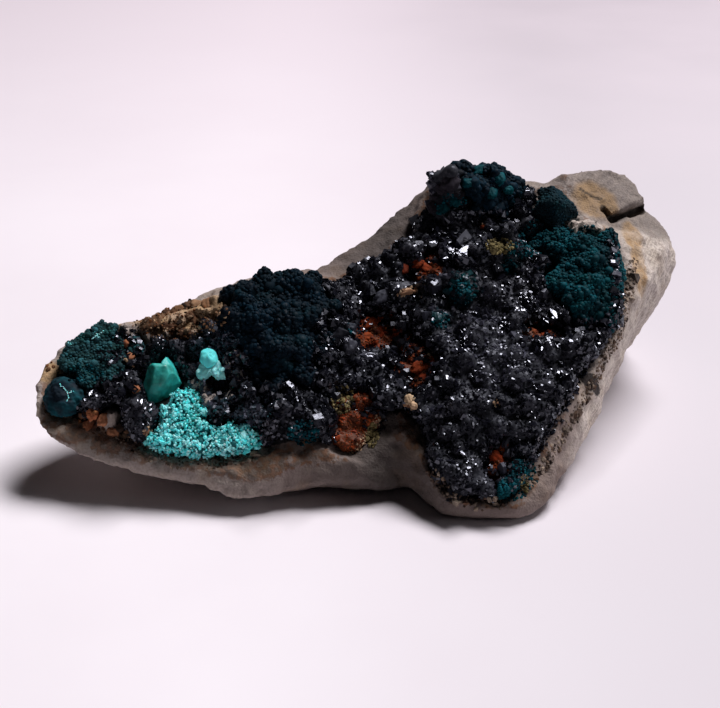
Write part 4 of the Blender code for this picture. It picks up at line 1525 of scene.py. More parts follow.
@dataclass
class Lace(Crust):
    """The porous turquoise crust: beads along winding lines, over a dark bed that carries painted shade for the
    hollows.
    """

    weave: float = 0.52
    hollow_share: float = -0.17
    tip_share: float = 0.02
    # Pale tips along the crests: partly the crust's pale colour, partly painted highlight.
    tips: Layer = Layer(0.24, 0.26)

    def cover(self, swarm: Swarm, ground: Ground, rng: np.random.Generator) -> None:
        """Sets chips wherever a winding pattern leaves no hollow, and pale tips along its crests, partly the crust's
        pale colour and partly painted highlight.
        """
        for layer, least, rise in ((self.layers[0], self.hollow_share, 0.0), (self.tips, self.tip_share, 0.16)):
            places = ground.scatter(layer.pitch, rng, self.least_lift)
            places = places.picked(self.winding(places) > least)
            places = places.spread(np.full(len(places.points), layer.pitch), rng)
            lift = rise + rng.uniform(0.0, 0.22, len(places.points))
            raised = Places(places.points + places.normals * lift[:, None] * MM, places.normals)
            self.set_grains(swarm, layer, raised, rng)

    def winding(self, places: Places) -> Array:
        """Measures the winding pattern at each place."""
        frequency = 1 / (self.weave * MM)
        return np.array([noise.noise(Vector(point) * frequency) for point in places.points])

    def tints(self, layer: Layer, places: Places, rng: np.random.Generator) -> Array:
        """Makes beads paler or greener in patches, the tips paler as partly a painted highlight, and gives each bead a
        random share of body colour over the hollow colour.
        """
        count = len(places.points)
        slow = np.array([noise.noise(Vector(point) * 450.0) for point in places.points])
        tip = layer is self.tips
        pale = np.clip(0.8 * rng.beta(0.8, 2.6, count) + 0.3 * slow + 0.35 * tip, 0, 1)
        green = np.clip(-1.2 * slow - 0.15, 0, 0.5) * (not tip)
        body = np.clip(rng.normal(0.85, 0.2, count), 0.2, 1.0)
        return np.stack([pale, green, body], axis=1)


@dataclass
class Vein:
    """Thin pale veins and flecks: chains of beads along lines on the face."""

    name: str
    lines: tuple[tuple[tuple[float, float], ...], ...]
    bead: float = 0.14
    step: float = 0.08

    def build(self, shape: Shape, ground: Ground, material: bpy.types.Material) -> bpy.types.Object:
        """Lays the beads on the ground along every line."""
        rng = np.random.default_rng(SEED)
        swarm = Swarm(self.name)
        for line in self.lines:
            corners = np.array(line)
            lengths = np.concatenate([[0.0], np.cumsum(np.linalg.norm(np.diff(corners, axis=0), axis=1))])
            along = np.arange(0.0, lengths[-1], self.step)
            p = np.interp(along, lengths, corners[:, 0]) + rng.normal(0.0, 0.03, len(along))
            q = np.interp(along, lengths, corners[:, 1]) + rng.normal(0.0, 0.03, len(along))
            places = ground.drop(p, q)
            count = len(places.points)
            sizes = self.bead * rng.uniform(0.6, 1.3, (count, 3)) * MM
            frames = frames_along(places.normals, rng.uniform(0, math.tau, count), sizes)
            tints = np.stack([rng.random(count), np.zeros(count), np.ones(count)], axis=1)
            swarm.add(shape, frames, places.points, tints)
        piece = swarm.build()
        dress(piece, material, "chrysocolla")
        return piece


@dataclass(frozen=True)
class LargeCrystal:
    """One crystal or, without a habit, one boulder in the crust, in millimetres and radians."""

    habit: Optional[Habit]
    p: float
    q: float
    h: float
    sizes: Colour
    spin: float
    tint: Colour
    lean: Colour = (0.0, 0.0, 0.0)
    rounding: float = 0.0

    def add_to(self, swarm: Swarm, ground: Ground) -> None:
        """Sets the crystal where the line of sight meets the ground."""
        foot = ground.drop(np.array([self.p]), np.array([self.q])).points
        foot = foot + np.array(FACE.outward) * self.h * MM
        shape = self.habit.model(self.rounding) if self.habit else boulder()
        axis = unit(np.array([FACE.outward]) + np.array([self.lean]))
        frames = frames_along(axis, np.array([self.spin]), np.array([self.sizes]) * MM)
        swarm.add(shape, frames, foot, np.array([self.tint]))


@dataclass
class TipKnob:
    """The smooth dark dome at the arm's tip."""

    node: str = "tip_knob"
    middle: tuple[float, float, float] = (-27.2, 10.4, 0.1)
    radii: tuple[float, float, float] = (1.85, 2.0, 1.15)

    def build(self, material: bpy.types.Material) -> bpy.types.Object:
        """Shapes a ball into the dome."""
        dome = start_piece(bpy.ops.mesh.primitive_ico_sphere_add, subdivisions=4, radius=1.0)
        dome.name = "tip_knob_dome"
        bpy.ops.transform.resize(value=[radius * MM for radius in self.radii])
        bpy.ops.transform.rotate(value=-FACE.tilt, orient_axis="X", center_override=(0.0, 0.0, 0.0))
        bpy.ops.transform.translate(value=FACE.place(*self.middle))
        close_piece()
        apply_modifier(dome, "REMESH", mode="VOXEL", voxel_size=0.1 * MM, adaptivity=0.0)
        Relief("CLOUDS", 1.4, 0.4, 1).carve(dome)
        Relief("VORONOI", 0.42, -0.22).carve(dome)
        Relief("CLOUDS", 0.3, 0.12, 1).carve(dome)
        spots = FACE.read(coordinates(dome.data))
        across = (spots[:, 0] - self.middle[0] + 0.3) / self.radii[0]
        along = (spots[:, 1] - self.middle[1]) / self.radii[1]
        edge = np.clip(2.6 * np.hypot(across, along) - 1.2, 0, 1)
        paint(dome.data, TINT, (edge, 0.0 * edge, 0.0 * edge))
        dome.data.polygons.foreach_set("use_smooth", np.ones(len(dome.data.polygons), bool))
        dress(dome, material, "azure_crust", self.node)
        return dome


@dataclass(frozen=True)
class CutLump:
    """A broken lump, cut to an outline on the face and rising to a slanting top."""

    outline: tuple[tuple[float, float], ...]
    foot: float
    top: float
    taper: float = 0.35
    slants: tuple[tuple[tuple[float, float, float], tuple[float, float, float]], ...] = ()

    def model(self, name: str) -> bpy.types.Object:
        """Cuts a block with a plane along each side of the outline.

        Args:
            name: the object's name.

        Returns:
            The closed lump, in place.
        """
        middle = np.mean(self.outline, axis=0)
        centre = FACE.place(middle[0], middle[1], (self.foot + self.top) / 2)
        block = start_piece(bpy.ops.mesh.primitive_cube_add, size=1.0)
        block.name = name
        bpy.ops.transform.resize(value=(8 * MM, 8 * MM, (self.top - self.foot) * MM))
        bpy.ops.transform.rotate(value=-FACE.tilt, orient_axis="X", center_override=(0.0, 0.0, 0.0))
        bpy.ops.transform.translate(value=centre)
        sides = list(zip(self.outline, (*self.outline[1:], self.outline[0])))
        for (p, q), (next_p, next_q) in sides:
            flat = np.array((q - next_q, next_p - p)) / math.hypot(next_p - p, next_q - q)
            if flat @ (np.array((p, q)) - middle) < 0:
                flat = -flat
            outward = Vector((1.0, 0.0, 0.0)) * flat[0] + FACE.uphill * flat[1] + FACE.outward * self.taper
            cut_off(FACE.place(p, q, self.foot), outward)
        for place, (along_p, along_q, along_h) in self.slants:
            outward = Vector((along_p, 0.0, 0.0)) + FACE.uphill * along_q + FACE.outward * along_h
            cut_off(FACE.place(*place), outward)
        close_piece()
        return block


@dataclass
class Malachite:
    """The green chunk with its turquoise tip."""

    node: str = "malachite_lump"
    body: CutLump = CutLump(
        (
            (-19.81, 13.33),
            (-18.97, 13.52),
            (-17.04, 13.43),
            (-16.48, 12.16),
            (-17.42, 11.01),
            (-18.47, 10.18),
            (-19.54, 9.86),
            (-20.28, 11.11),
        ),
        -0.6,
        2.3,
        0.22,
        (
            ((-18.0, 11.9, 1.9), (0.10, -0.42, 0.90)),
            ((-19.3, 11.8, 1.5), (-0.66, -0.20, 0.72)),
            ((-18.2, 12.9, 2.0), (0.05, 0.50, 0.86)),
            ((-17.2, 12.4, 1.6), (0.72, 0.05, 0.69)),
            ((-18.6, 10.7, 1.1), (0.15, -0.80, 0.58)),
        ),
    )
    tip: CutLump = CutLump(
        ((-18.9, 12.4), (-18.9, 13.5), (-18.5, 14.3), (-17.9, 14.9), (-17.4, 14.3), (-16.9, 13.3), (-16.8, 12.4)),
        -0.6,
        1.6,
        0.3,
        (((-18.0, 13.6, 1.4), (0.45, 0.25, 0.86)), ((-18.4, 13.6, 1.3), (-0.5, 0.3, 0.8))),
    )

    def build(self, material: bpy.types.Material) -> bpy.types.Object:
        """Cuts both lumps, rounds their edges and roughens their faces."""
        swarm = Swarm("malachite_chunk")
        for number, lump in enumerate((self.body, self.tip)):
            block = lump.model(f"malachite_{number}")
            apply_modifier(block, "BEVEL", width=0.05 * MM, segments=1, limit_method="ANGLE")
            apply_modifier(block, "REMESH", mode="VOXEL", voxel_size=0.11 * MM, adaptivity=0.0)
            Relief("CLOUDS", 0.7, 0.12, 1).carve(block)
            Relief("CLOUDS", 0.25, 0.05, 2).carve(block)
            swarm.add_mesh(block, (float(number), 0.0, 0.0))
        piece = swarm.build()
        dress(piece, material, "malachite", self.node)
        return piece


@dataclass
class Drop:
    """The round chrysocolla nodule and the ragged flake under it."""

    node: str = "chrysocolla_nodule"
    head: tuple[float, float, float] = (-14.0, 14.0, 1.15)
    radii: tuple[float, float, float] = (0.84, 0.9, 0.74)
    flakes: tuple[CutLump, ...] = (
        CutLump(((-14.8, 13.6), (-15.2, 12.9), (-15.0, 12.2), (-14.3, 12.0), (-13.8, 12.6), (-13.8, 13.6)), 0.2, 1.0, 0.1, (((-14.7, 13.0, 0.9), (-0.25, -0.30, 0.92)),)),
        CutLump(((-13.8, 13.6), (-13.7, 12.6), (-13.1, 12.1), (-12.4, 12.2), (-12.6, 13.2), (-13.0, 13.9)), 0.2, 1.1, 0.1, (((-13.3, 13.0, 0.9), (0.30, -0.25, 0.92)),)),
        CutLump(((-14.7, 13.9), (-14.5, 13.0), (-13.7, 12.6), (-12.9, 12.9), (-13.0, 13.9)), 0.2, 1.1, 0.1, (((-14.0, 13.3, 1.0), (0.0, -0.25, 0.96)),)),
    )
    chips: tuple[tuple[float, float, float, float], ...] = (
        (-14.9, 12.7, 1.0, 0.55),
        (-13.9, 12.7, 1.0, 0.50),
        (-12.7, 12.9, 0.9, 0.60),
        (-13.1, 12.4, 0.9, 0.45),
    )

    def build(self, shapes: Sequence[Shape], material: bpy.types.Material) -> bpy.types.Object:
        """Rounds the head and lays the ragged flake with its chips under it."""
        rng = np.random.default_rng(SEED)
        swarm = Swarm("chrysocolla_drop")
        ball = start_piece(bpy.ops.mesh.primitive_uv_sphere_add, segments=32, ring_count=20, radius=1.0)
        bpy.ops.transform.resize(value=[radius * MM for radius in self.radii])
        bpy.ops.transform.rotate(value=-FACE.tilt, orient_axis="X", center_override=(0.0, 0.0, 0.0))
        bpy.ops.transform.translate(value=FACE.place(*self.head))
        close_piece()
        Relief("CLOUDS", 0.8, 0.45, 2).carve(ball)
        Relief("CLOUDS", 0.2, 0.04, 1).carve(ball)
        swarm.add_mesh(ball, (0.10, 0.0, 1.0))
        for outline in self.flakes:
            flake = outline.model("flake")
            apply_modifier(flake, "REMESH", mode="VOXEL", voxel_size=0.08 * MM, adaptivity=0.0)
            Relief("CLOUDS", 0.5, 0.25, 2).carve(flake)
            swarm.add_mesh(flake, (0.5, 0.0, 1.0))
        for p, q, h, size in self.chips:
            axis = unit(np.array(FACE.outward)[None] + rng.normal(0.0, 0.3, (1, 3)))
            sizes = size * np.array([[1.1, 0.9, 0.55]]) * MM
            frames = frames_along(axis, rng.uniform(0, math.tau, 1), sizes)
            point = np.array([FACE.place(p, q, h)])
            swarm.add(shapes[int(rng.integers(len(shapes)))], frames, point, np.array([[0.6, 0.0, 1.0]]))
        piece = swarm.build()
        dress(piece, material, "chrysocolla", self.node)
        return piece


CRUST_EDGE = ((26.5, 25.0), (25.5, 20.7), (24.2, 16.8), (22.4, 13.5), (20.9, 10.7), (19.4, 8.0), (17.9, 5.6), (16.1, 2.8), (14.1, 0.7))
FRONT_EDGE = ((6.6, 2.6), (7.1, 1.2), (8.3, 0.1), (10.3, -0.5), (12.4, -0.3))
ARM_EDGE = ((-21.4, 5.8), (-18.7, 4.3), (-15.6, 3.4), (-12.3, 3.5), (-9.4, 4.2))
RUSTY = (
    Spot(-0.5, 8.6, 2.6, 3.1),
    Spot(17.1, 17.1, 2.1, 1.2),
    Spot(12.5, 4.2, 1.4, 2.0),
    Spot(5.0, 13.8, 2.3, 2.9),
    Spot(7.0, 25.0, 2.0, 2.0),
    Spot(2.0, 18.0, 3.0, 2.2),
)
RUST_SHOWN = (
    Spot(2.2, 17.9, 1.6, 1.0),
    Spot(1.0, 16.7, 0.9, 1.0),
    Spot(5.6, 13.2, 1.0, 0.8),
    Spot(4.6, 14.1, 0.6, 0.6),
    Spot(0.2, 10.3, 0.9, 0.9),
    Spot(-0.9, 8.3, 1.2, 1.2),
    Spot(1.1, 7.8, 0.6, 1.2),
    Spot(6.9, 24.3, 0.9, 0.9),
    Spot(17.0, 17.3, 0.8, 1.0),
    Spot(12.3, 4.2, 0.6, 1.0),
    Spot(-0.4, 6.2, 1.5, 1.6),
)
CRUST_BORDERS = (
    Spot(20.5, 18.0, 3.4, 0.7),
    Spot(16.9, 22.5, 0.7, 3.4),
    Spot(24.6, 21.3, 0.4, 3.3),
    Spot(24.8, 26.4, 0.4, 1.6),
    Spot(-3.0, 14.0, 1.3, 5.0),
    Spot(-8.0, 10.3, 4.5, 1.2),
    Spot(-11.5, 13.5, 1.2, 1.8),
    Spot(11.8, 30.6, 3.0, 0.6),
    Spot(-20.6, 13.2, 0.9, 2.2),
    Spot(-22.3, 11.4, 1.6, 0.8),
    Spot(-21.7, 16.5, 1.2, 0.9),
    Spot(-22.5, 14.5, 1.2, 0.6),
)
OUTER_BORDER = spots_along(
    ((24.6, 20.7), (23.0, 16.9), (21.1, 13.9), (19.6, 11.1), (18.1, 8.5), (16.6, 6.0), (14.9, 3.4), (13.0, 1.1)), 0.45
)
FINE_GRAINED = (Spot(13.0, 9.5, 8.0, 9.0), Spot(16.0, 19.0, 6.0, 5.0))
HOLLOW = (Spot(-12.9, 12.0, 2.6, 3.2), Spot(-13.6, 15.6, 2.0, 1.6), Spot(-9.6, 8.8, 1.6, 1.4))
PEAK = (Spot(8.3, 32.2, 1.2, 2.6),)
GLINTS = (
    Glint(15.9, 20.7, 1.1, 18, 0.24),
    Glint(13.7, 17.5, 0.6, 10, 0.26),
    Glint(10.3, 16.5, 1.0, 14, 0.24),
    Glint(8.5, 29.5, 0.9, 16, 0.3),
    Glint(8.2, 27.2, 0.9, 18, 0.34),
    Glint(8.2, 26.4, 1.1, 34, 0.6, 2.0),
    Glint(7.9, 28.3, 0.9, 26, 0.45, 2.0),
    Glint(9.8, 25.6, 0.45, 16, 0.85, 1.0),
    Glint(1.6, 22.1, 0.3, 3, 0.3, 2.2),
    Glint(0.0, 21.4, 0.25, 3),
    Glint(13.6, 29.8, 0.5, 4, 0.24),
    Glint(4.2, 20.2, 0.5, 4, 0.25),
    Glint(17.5, 21.9, 0.8, 9, 0.26),
    Glint(16.0, 20.3, 0.9, 12, 0.22),
    Glint(11.8, 19.4, 1.1, 14, 0.2),
    Glint(13.5, 24.3, 0.3, 3, 0.25),
    Glint(18.0, 18.4, 0.7, 7, 0.28),
    Glint(6.7, 18.0, 0.5, 5, 0.28),
    Glint(9.7, 16.9, 0.9, 10, 0.24),
    Glint(10.1, 15.1, 1.1, 14, 0.24),
    Glint(13.9, 17.3, 0.9, 10, 0.26),
    Glint(17.0, 15.9, 0.9, 9, 0.3, 2.0),
    Glint(18.6, 16.0, 0.7, 8, 0.34, 2.2),
    Glint(15.4, 13.5, 0.5, 4, 0.25),
    Glint(7.1, 12.7, 0.3, 4, 0.28),
    Glint(10.4, 12.4, 0.6, 5, 0.22),
    Glint(17.6, 10.5, 0.7, 10, 0.26),
    Glint(16.1, 10.7, 0.6, 5, 0.24),
    Glint(16.0, 7.8, 1.2, 9, 0.2),
    Glint(9.0, 4.4, 0.4, 5, 0.3),
    Glint(21.1, 17.3, 0.6, 8, 0.36),
    Glint(23.8, 18.3, 0.3, 3, 0.3),
    Glint(25.6, 23.3, 0.3, 2, 0.34),
    Glint(-4.5, 17.4, 0.9, 16, 0.34, 1.8),
    Glint(-2.5, 19.9, 0.4, 3, 0.24),
    Glint(-1.3, 14.5, 0.3, 3, 0.34),
    Glint(0.1, 15.4, 0.5, 4, 0.34, 2.0),
    Glint(-7.2, 10.3, 0.4, 4, 0.26),
    Glint(3.3, 16.8, 0.4, 4, 0.24),
)
LARGE_CRYSTALS = (
    LargeCrystal(None, 7.3, 18.7, 0.0, (0.9, 1.1, 0.8), 0.6, (1.0, 0.0, 0.8)),
    LargeCrystal(None, 2.2, 21.0, -0.2, (2.3, 1.5, 1.5), 0.5, (0.0, 0.45, 1.7)),
    LargeCrystal(None, 0.6, 14.5, -0.2, (2.2, 1.1, 1.0), 2.9, (0.0, 0.3, 0.5)),
    LargeCrystal(None, -1.0, 15.6, -0.2, (1.6, 1.4, 1.3), 0.7, (0.0, 0.25, 1.7)),
    LargeCrystal(None, 1.1, 13.6, -0.2, (1.6, 0.9, 0.9), 0.2, (0.0, 0.2, 0.5)),
    LargeCrystal(Habit.SHARD, -0.8, 17.5, -0.1, (1.3, 1.0, 1.0), 1.0, (0.1, 0.2, 0.5), (0.2, -0.1, 0.0), 0.0),
    LargeCrystal(Habit.DIAMOND, 3.5, 11.5, -0.1, (1.0, 1.2, 0.9), 0.2, (0.0, 0.2, 0.6), (-0.2, -0.1, 0.0), 0.0),
    LargeCrystal(Habit.DIAMOND, 9.1, 21.8, -0.1, (1.1, 1.1, 0.9), 2.0, (0.0, 0.1, 0.5), (0.1, -0.3, 0.0), 0.0),
    LargeCrystal(Habit.DIAMOND, -2.8, 14.6, -0.1, (1.1, 1.0, 0.9), 1.0, (0.0, 0.1, 0.5), (-0.1, -0.2, 0.0), 0.0),
    LargeCrystal(Habit.WEDGE, 10.7, 25.0, -0.1, (1.0, 1.1, 0.9), 0.4, (0.0, 0.1, 0.5), (0.2, -0.2, 0.0), 0.0),
)
PEAK_LUMPS = (
    LargeCrystal(None, 9.1, 34.9, -0.4, (1.9, 1.8, 1.5), 0.3, (0.8, 0.5, 0.0)),
    LargeCrystal(None, 8.2, 34.3, -0.4, (1.4, 1.4, 1.3), 1.3, (0.8, 0.4, 0.0)),
    LargeCrystal(None, 7.7, 33.0, -0.3, (1.3, 1.4, 1.2), 2.0, (0.7, 0.4, 0.0)),
    LargeCrystal(None, 7.3, 31.7, -0.3, (1.2, 1.4, 1.1), 0.8, (0.8, 0.3, 0.0)),
    LargeCrystal(None, 6.9, 30.5, -0.3, (1.3, 1.2, 1.0), 2.7, (0.5, 0.2, 0.0)),
    LargeCrystal(None, 9.9, 33.6, -0.4, (1.4, 1.3, 1.0), 1.7, (0.4, 0.1, 0.0)),
)
TAN_LUMPS = (
    LargeCrystal(None, 4.5, 9.9, 0.0, (1.0, 1.1, 0.8), 0.8, (0.9, 0.8, 0.0)),
    LargeCrystal(None, 4.9, 9.3, 0.0, (0.8, 0.7, 0.6), 2.0, (0.9, 0.6, 0.0)),
    LargeCrystal(None, 4.5, 21.6, -0.1, (1.5, 0.5, 0.6), 0.2, (0.6, 0.1, 0.0)),
    LargeCrystal(None, -1.6, 10.4, -0.1, (0.9, 1.0, 0.7), 1.2, (0.2, 0.3, 0.0)),
)
RUST_LUMPS = (
    LargeCrystal(None, 0.9, 18.2, -0.3, (1.8, 1.4, 1.0), 0.4, (0.8, 0.1, 0.0)),
    LargeCrystal(None, 2.2, 18.7, -0.3, (1.7, 1.5, 1.0), 1.4, (0.7, 0.1, 0.0)),
    LargeCrystal(None, 0.6, 16.7, -0.3, (1.4, 1.3, 0.9), 2.4, (0.75, 0.25, 0.0)),
    LargeCrystal(None, 2.0, 17.2, -0.3, (1.6, 1.4, 0.9), 0.9, (0.65, 0.0, 0.0)),
    LargeCrystal(None, 3.2, 19.2, -0.3, (1.2, 1.2, 0.8), 1.9, (0.5, 0.0, 0.0)),
    LargeCrystal(None, 17.0, 17.2, -0.25, (1.6, 1.6, 1.1), 0.3, (0.75, 0.0, 0.0)),
    LargeCrystal(None, 12.2, 4.1, -0.25, (1.5, 1.8, 1.1), 1.2, (0.8, 0.0, 0.0)),
    LargeCrystal(None, 6.4, 24.4, -0.25, (1.6, 1.3, 0.9), 2.1, (0.8, 0.15, 0.0)),
    LargeCrystal(None, 5.6, 25.0, -0.25, (1.3, 1.1, 0.8), 0.5, (0.7, 0.1, 0.0)),
    LargeCrystal(None, 4.2, 24.3, -0.25, (1.2, 1.1, 0.8), 0.9, (0.45, 0.0, 0.0)),
    LargeCrystal(None, 5.4, 13.4, -0.25, (1.6, 1.3, 0.9), 0.4, (0.8, 0.1, 0.0)),
    LargeCrystal(None, 4.3, 12.6, -0.25, (1.3, 1.4, 0.9), 1.9, (0.7, 0.05, 0.0)),
    LargeCrystal(None, 5.9, 12.3, -0.25, (1.2, 1.1, 0.8), 2.8, (0.6, 0.0, 0.0)),
    LargeCrystal(None, 12.2, 29.3, -0.2, (0.7, 0.6, 0.6), 2.8, (0.8, 0.2, 0.0)),
)
# The first tint value is lighter on the upper lumps: a painted highlight at the top of the crown.
CROWN_LUMPS = (
    LargeCrystal(None, 12.1, 36.2, -0.2, (1.7, 1.3, 1.1), 0.3, (0.8, 0.3, 0.5)),
    LargeCrystal(None, 14.1, 35.2, -0.2, (1.5, 1.3, 1.1), 1.3, (0.7, 0.3, 0.5)),
    LargeCrystal(None, 14.8, 33.9, -0.2, (1.2, 1.1, 0.9), 2.2, (0.6, 0.5, 0.5)),
    LargeCrystal(None, 13.2, 33.4, -0.2, (1.3, 1.2, 0.9), 0.9, (0.4, 0.3, 0.5)),
    LargeCrystal(None, 10.9, 34.7, -0.2, (1.2, 1.1, 0.9), 2.6, (0.35, 0.3, 0.5)),
    LargeCrystal(None, 9.5, 32.5, -0.2, (1.4, 1.2, 0.9), 1.6, (0.35, 0.3, 0.5)),
    LargeCrystal(None, 8.3, 31.5, -0.2, (1.2, 1.1, 0.9), 0.5, (0.4, 0.3, 0.5)),
)
RIM_LUMPS = (
    LargeCrystal(None, -20.0, 18.1, -0.3, (1.6, 1.5, 1.1), 0.2, (0.15, 0.1, 0.0)),
    LargeCrystal(None, -19.1, 18.5, -0.3, (1.8, 1.5, 1.1), 1.1, (0.5, 0.25, 0.0)),
    LargeCrystal(None, -18.2, 19.0, -0.3, (1.7, 1.5, 1.1), 2.0, (0.2, 0.0, 0.0)),
    LargeCrystal(None, -17.3, 19.4, -0.3, (1.9, 1.5, 1.1), 0.5, (0.6, 0.2, 0.0)),
    LargeCrystal(None, -16.3, 19.8, -0.3, (1.7, 1.5, 1.1), 1.6, (0.3, 0.1, 0.0)),
    LargeCrystal(None, -15.4, 20.1, -0.3, (1.8, 1.5, 1.1), 2.5, (0.9, 0.45, 0.0)),
    LargeCrystal(None, -14.5, 20.2, -0.3, (1.7, 1.5, 1.1), 0.8, (1.0, 0.3, 0.0)),
    LargeCrystal(None, -18.1, 17.7, -0.3, (1.6, 1.5, 1.1), 1.9, (0.2, 0.0, 0.0)),
    LargeCrystal(None, -17.0, 18.1, -0.3, (1.6, 1.5, 1.1), 0.1, (0.3, 0.1, 0.0)),
    LargeCrystal(None, -15.9, 18.8, -0.3, (1.6, 1.5, 1.1), 1.2, (0.4, 0.1, 0.0)),
    LargeCrystal(None, -16.5, 17.0, -0.3, (1.3, 1.5, 1.1), 2.2, (0.1, 0.0, 0.0)),
)
SALMON_LUMPS = (
    LargeCrystal(None, -23.2, 7.9, -0.15, (1.4, 1.2, 1.1), 0.4, (0.9, 0.4, 0.0), (0.2, -0.1, 0.0), 0.25),
    LargeCrystal(None, -24.3, 8.5, -0.15, (1.3, 1.2, 1.0), 1.3, (1.0, 0.15, 0.0), (-0.2, -0.2, 0.0), 0.25),
    LargeCrystal(None, -22.3, 6.7, -0.1, (1.2, 1.1, 0.9), 2.2, (0.6, 0.35, 0.0), (0.1, -0.3, 0.0), 0.25),
    LargeCrystal(None, -24.6, 7.3, -0.15, (1.2, 1.1, 0.9), 0.8, (0.4, 0.1, 0.0), (0.1, -0.3, 0.0), 0.25),
    LargeCrystal(Habit.BLOCK, -21.4, 14.4, -0.1, (0.9, 1.0, 0.8), 0.9, (0.9, 0.35, 0.0), (0.0, -0.3, 0.0), 0.25),
    LargeCrystal(Habit.SHARD, -21.8, 15.9, -0.1, (1.1, 0.9, 0.8), 0.2, (0.6, 0.1, 0.0), (0.3, -0.1, 0.0), 0.2),
    LargeCrystal(Habit.BLOCK, -20.6, 11.1, -0.1, (0.7, 0.8, 0.7), 0.2, (0.6, 0.2, 0.0), (0.3, -0.1, 0.0), 0.2),
    LargeCrystal(None, -17.2, 6.6, -0.1, (1.4, 1.3, 1.1), 0.2, (0.8, 0.6, 0.0), (0.0, -0.1, 0.0), 0.25),
)
OLIVE_SPOTS = (Spot(13.6, 26.9, 1.2, 0.8), Spot(-1.6, 9.9, 0.9, 1.3), Spot(1.1, 6.2, 0.5, 1.0), Spot(14.5, 1.5, 0.3, 0.8))
ARM_GLINTS = (
    Glint(-18.4, 15.6, 0.3, 3, 0.28),
    Glint(-18.1, 16.7, 0.8, 6, 0.2),
    Glint(-23.0, 13.0, 0.3, 2, 0.3),
    Glint(-23.6, 11.6, 0.3, 3, 0.3),
    Glint(-24.7, 10.4, 0.3, 3, 0.32),
    Glint(-21.7, 10.0, 0.3, 2, 0.24),
    Glint(-20.1, 9.7, 0.3, 4, 0.28),
    Glint(-19.0, 9.0, 0.4, 5, 0.3),
)


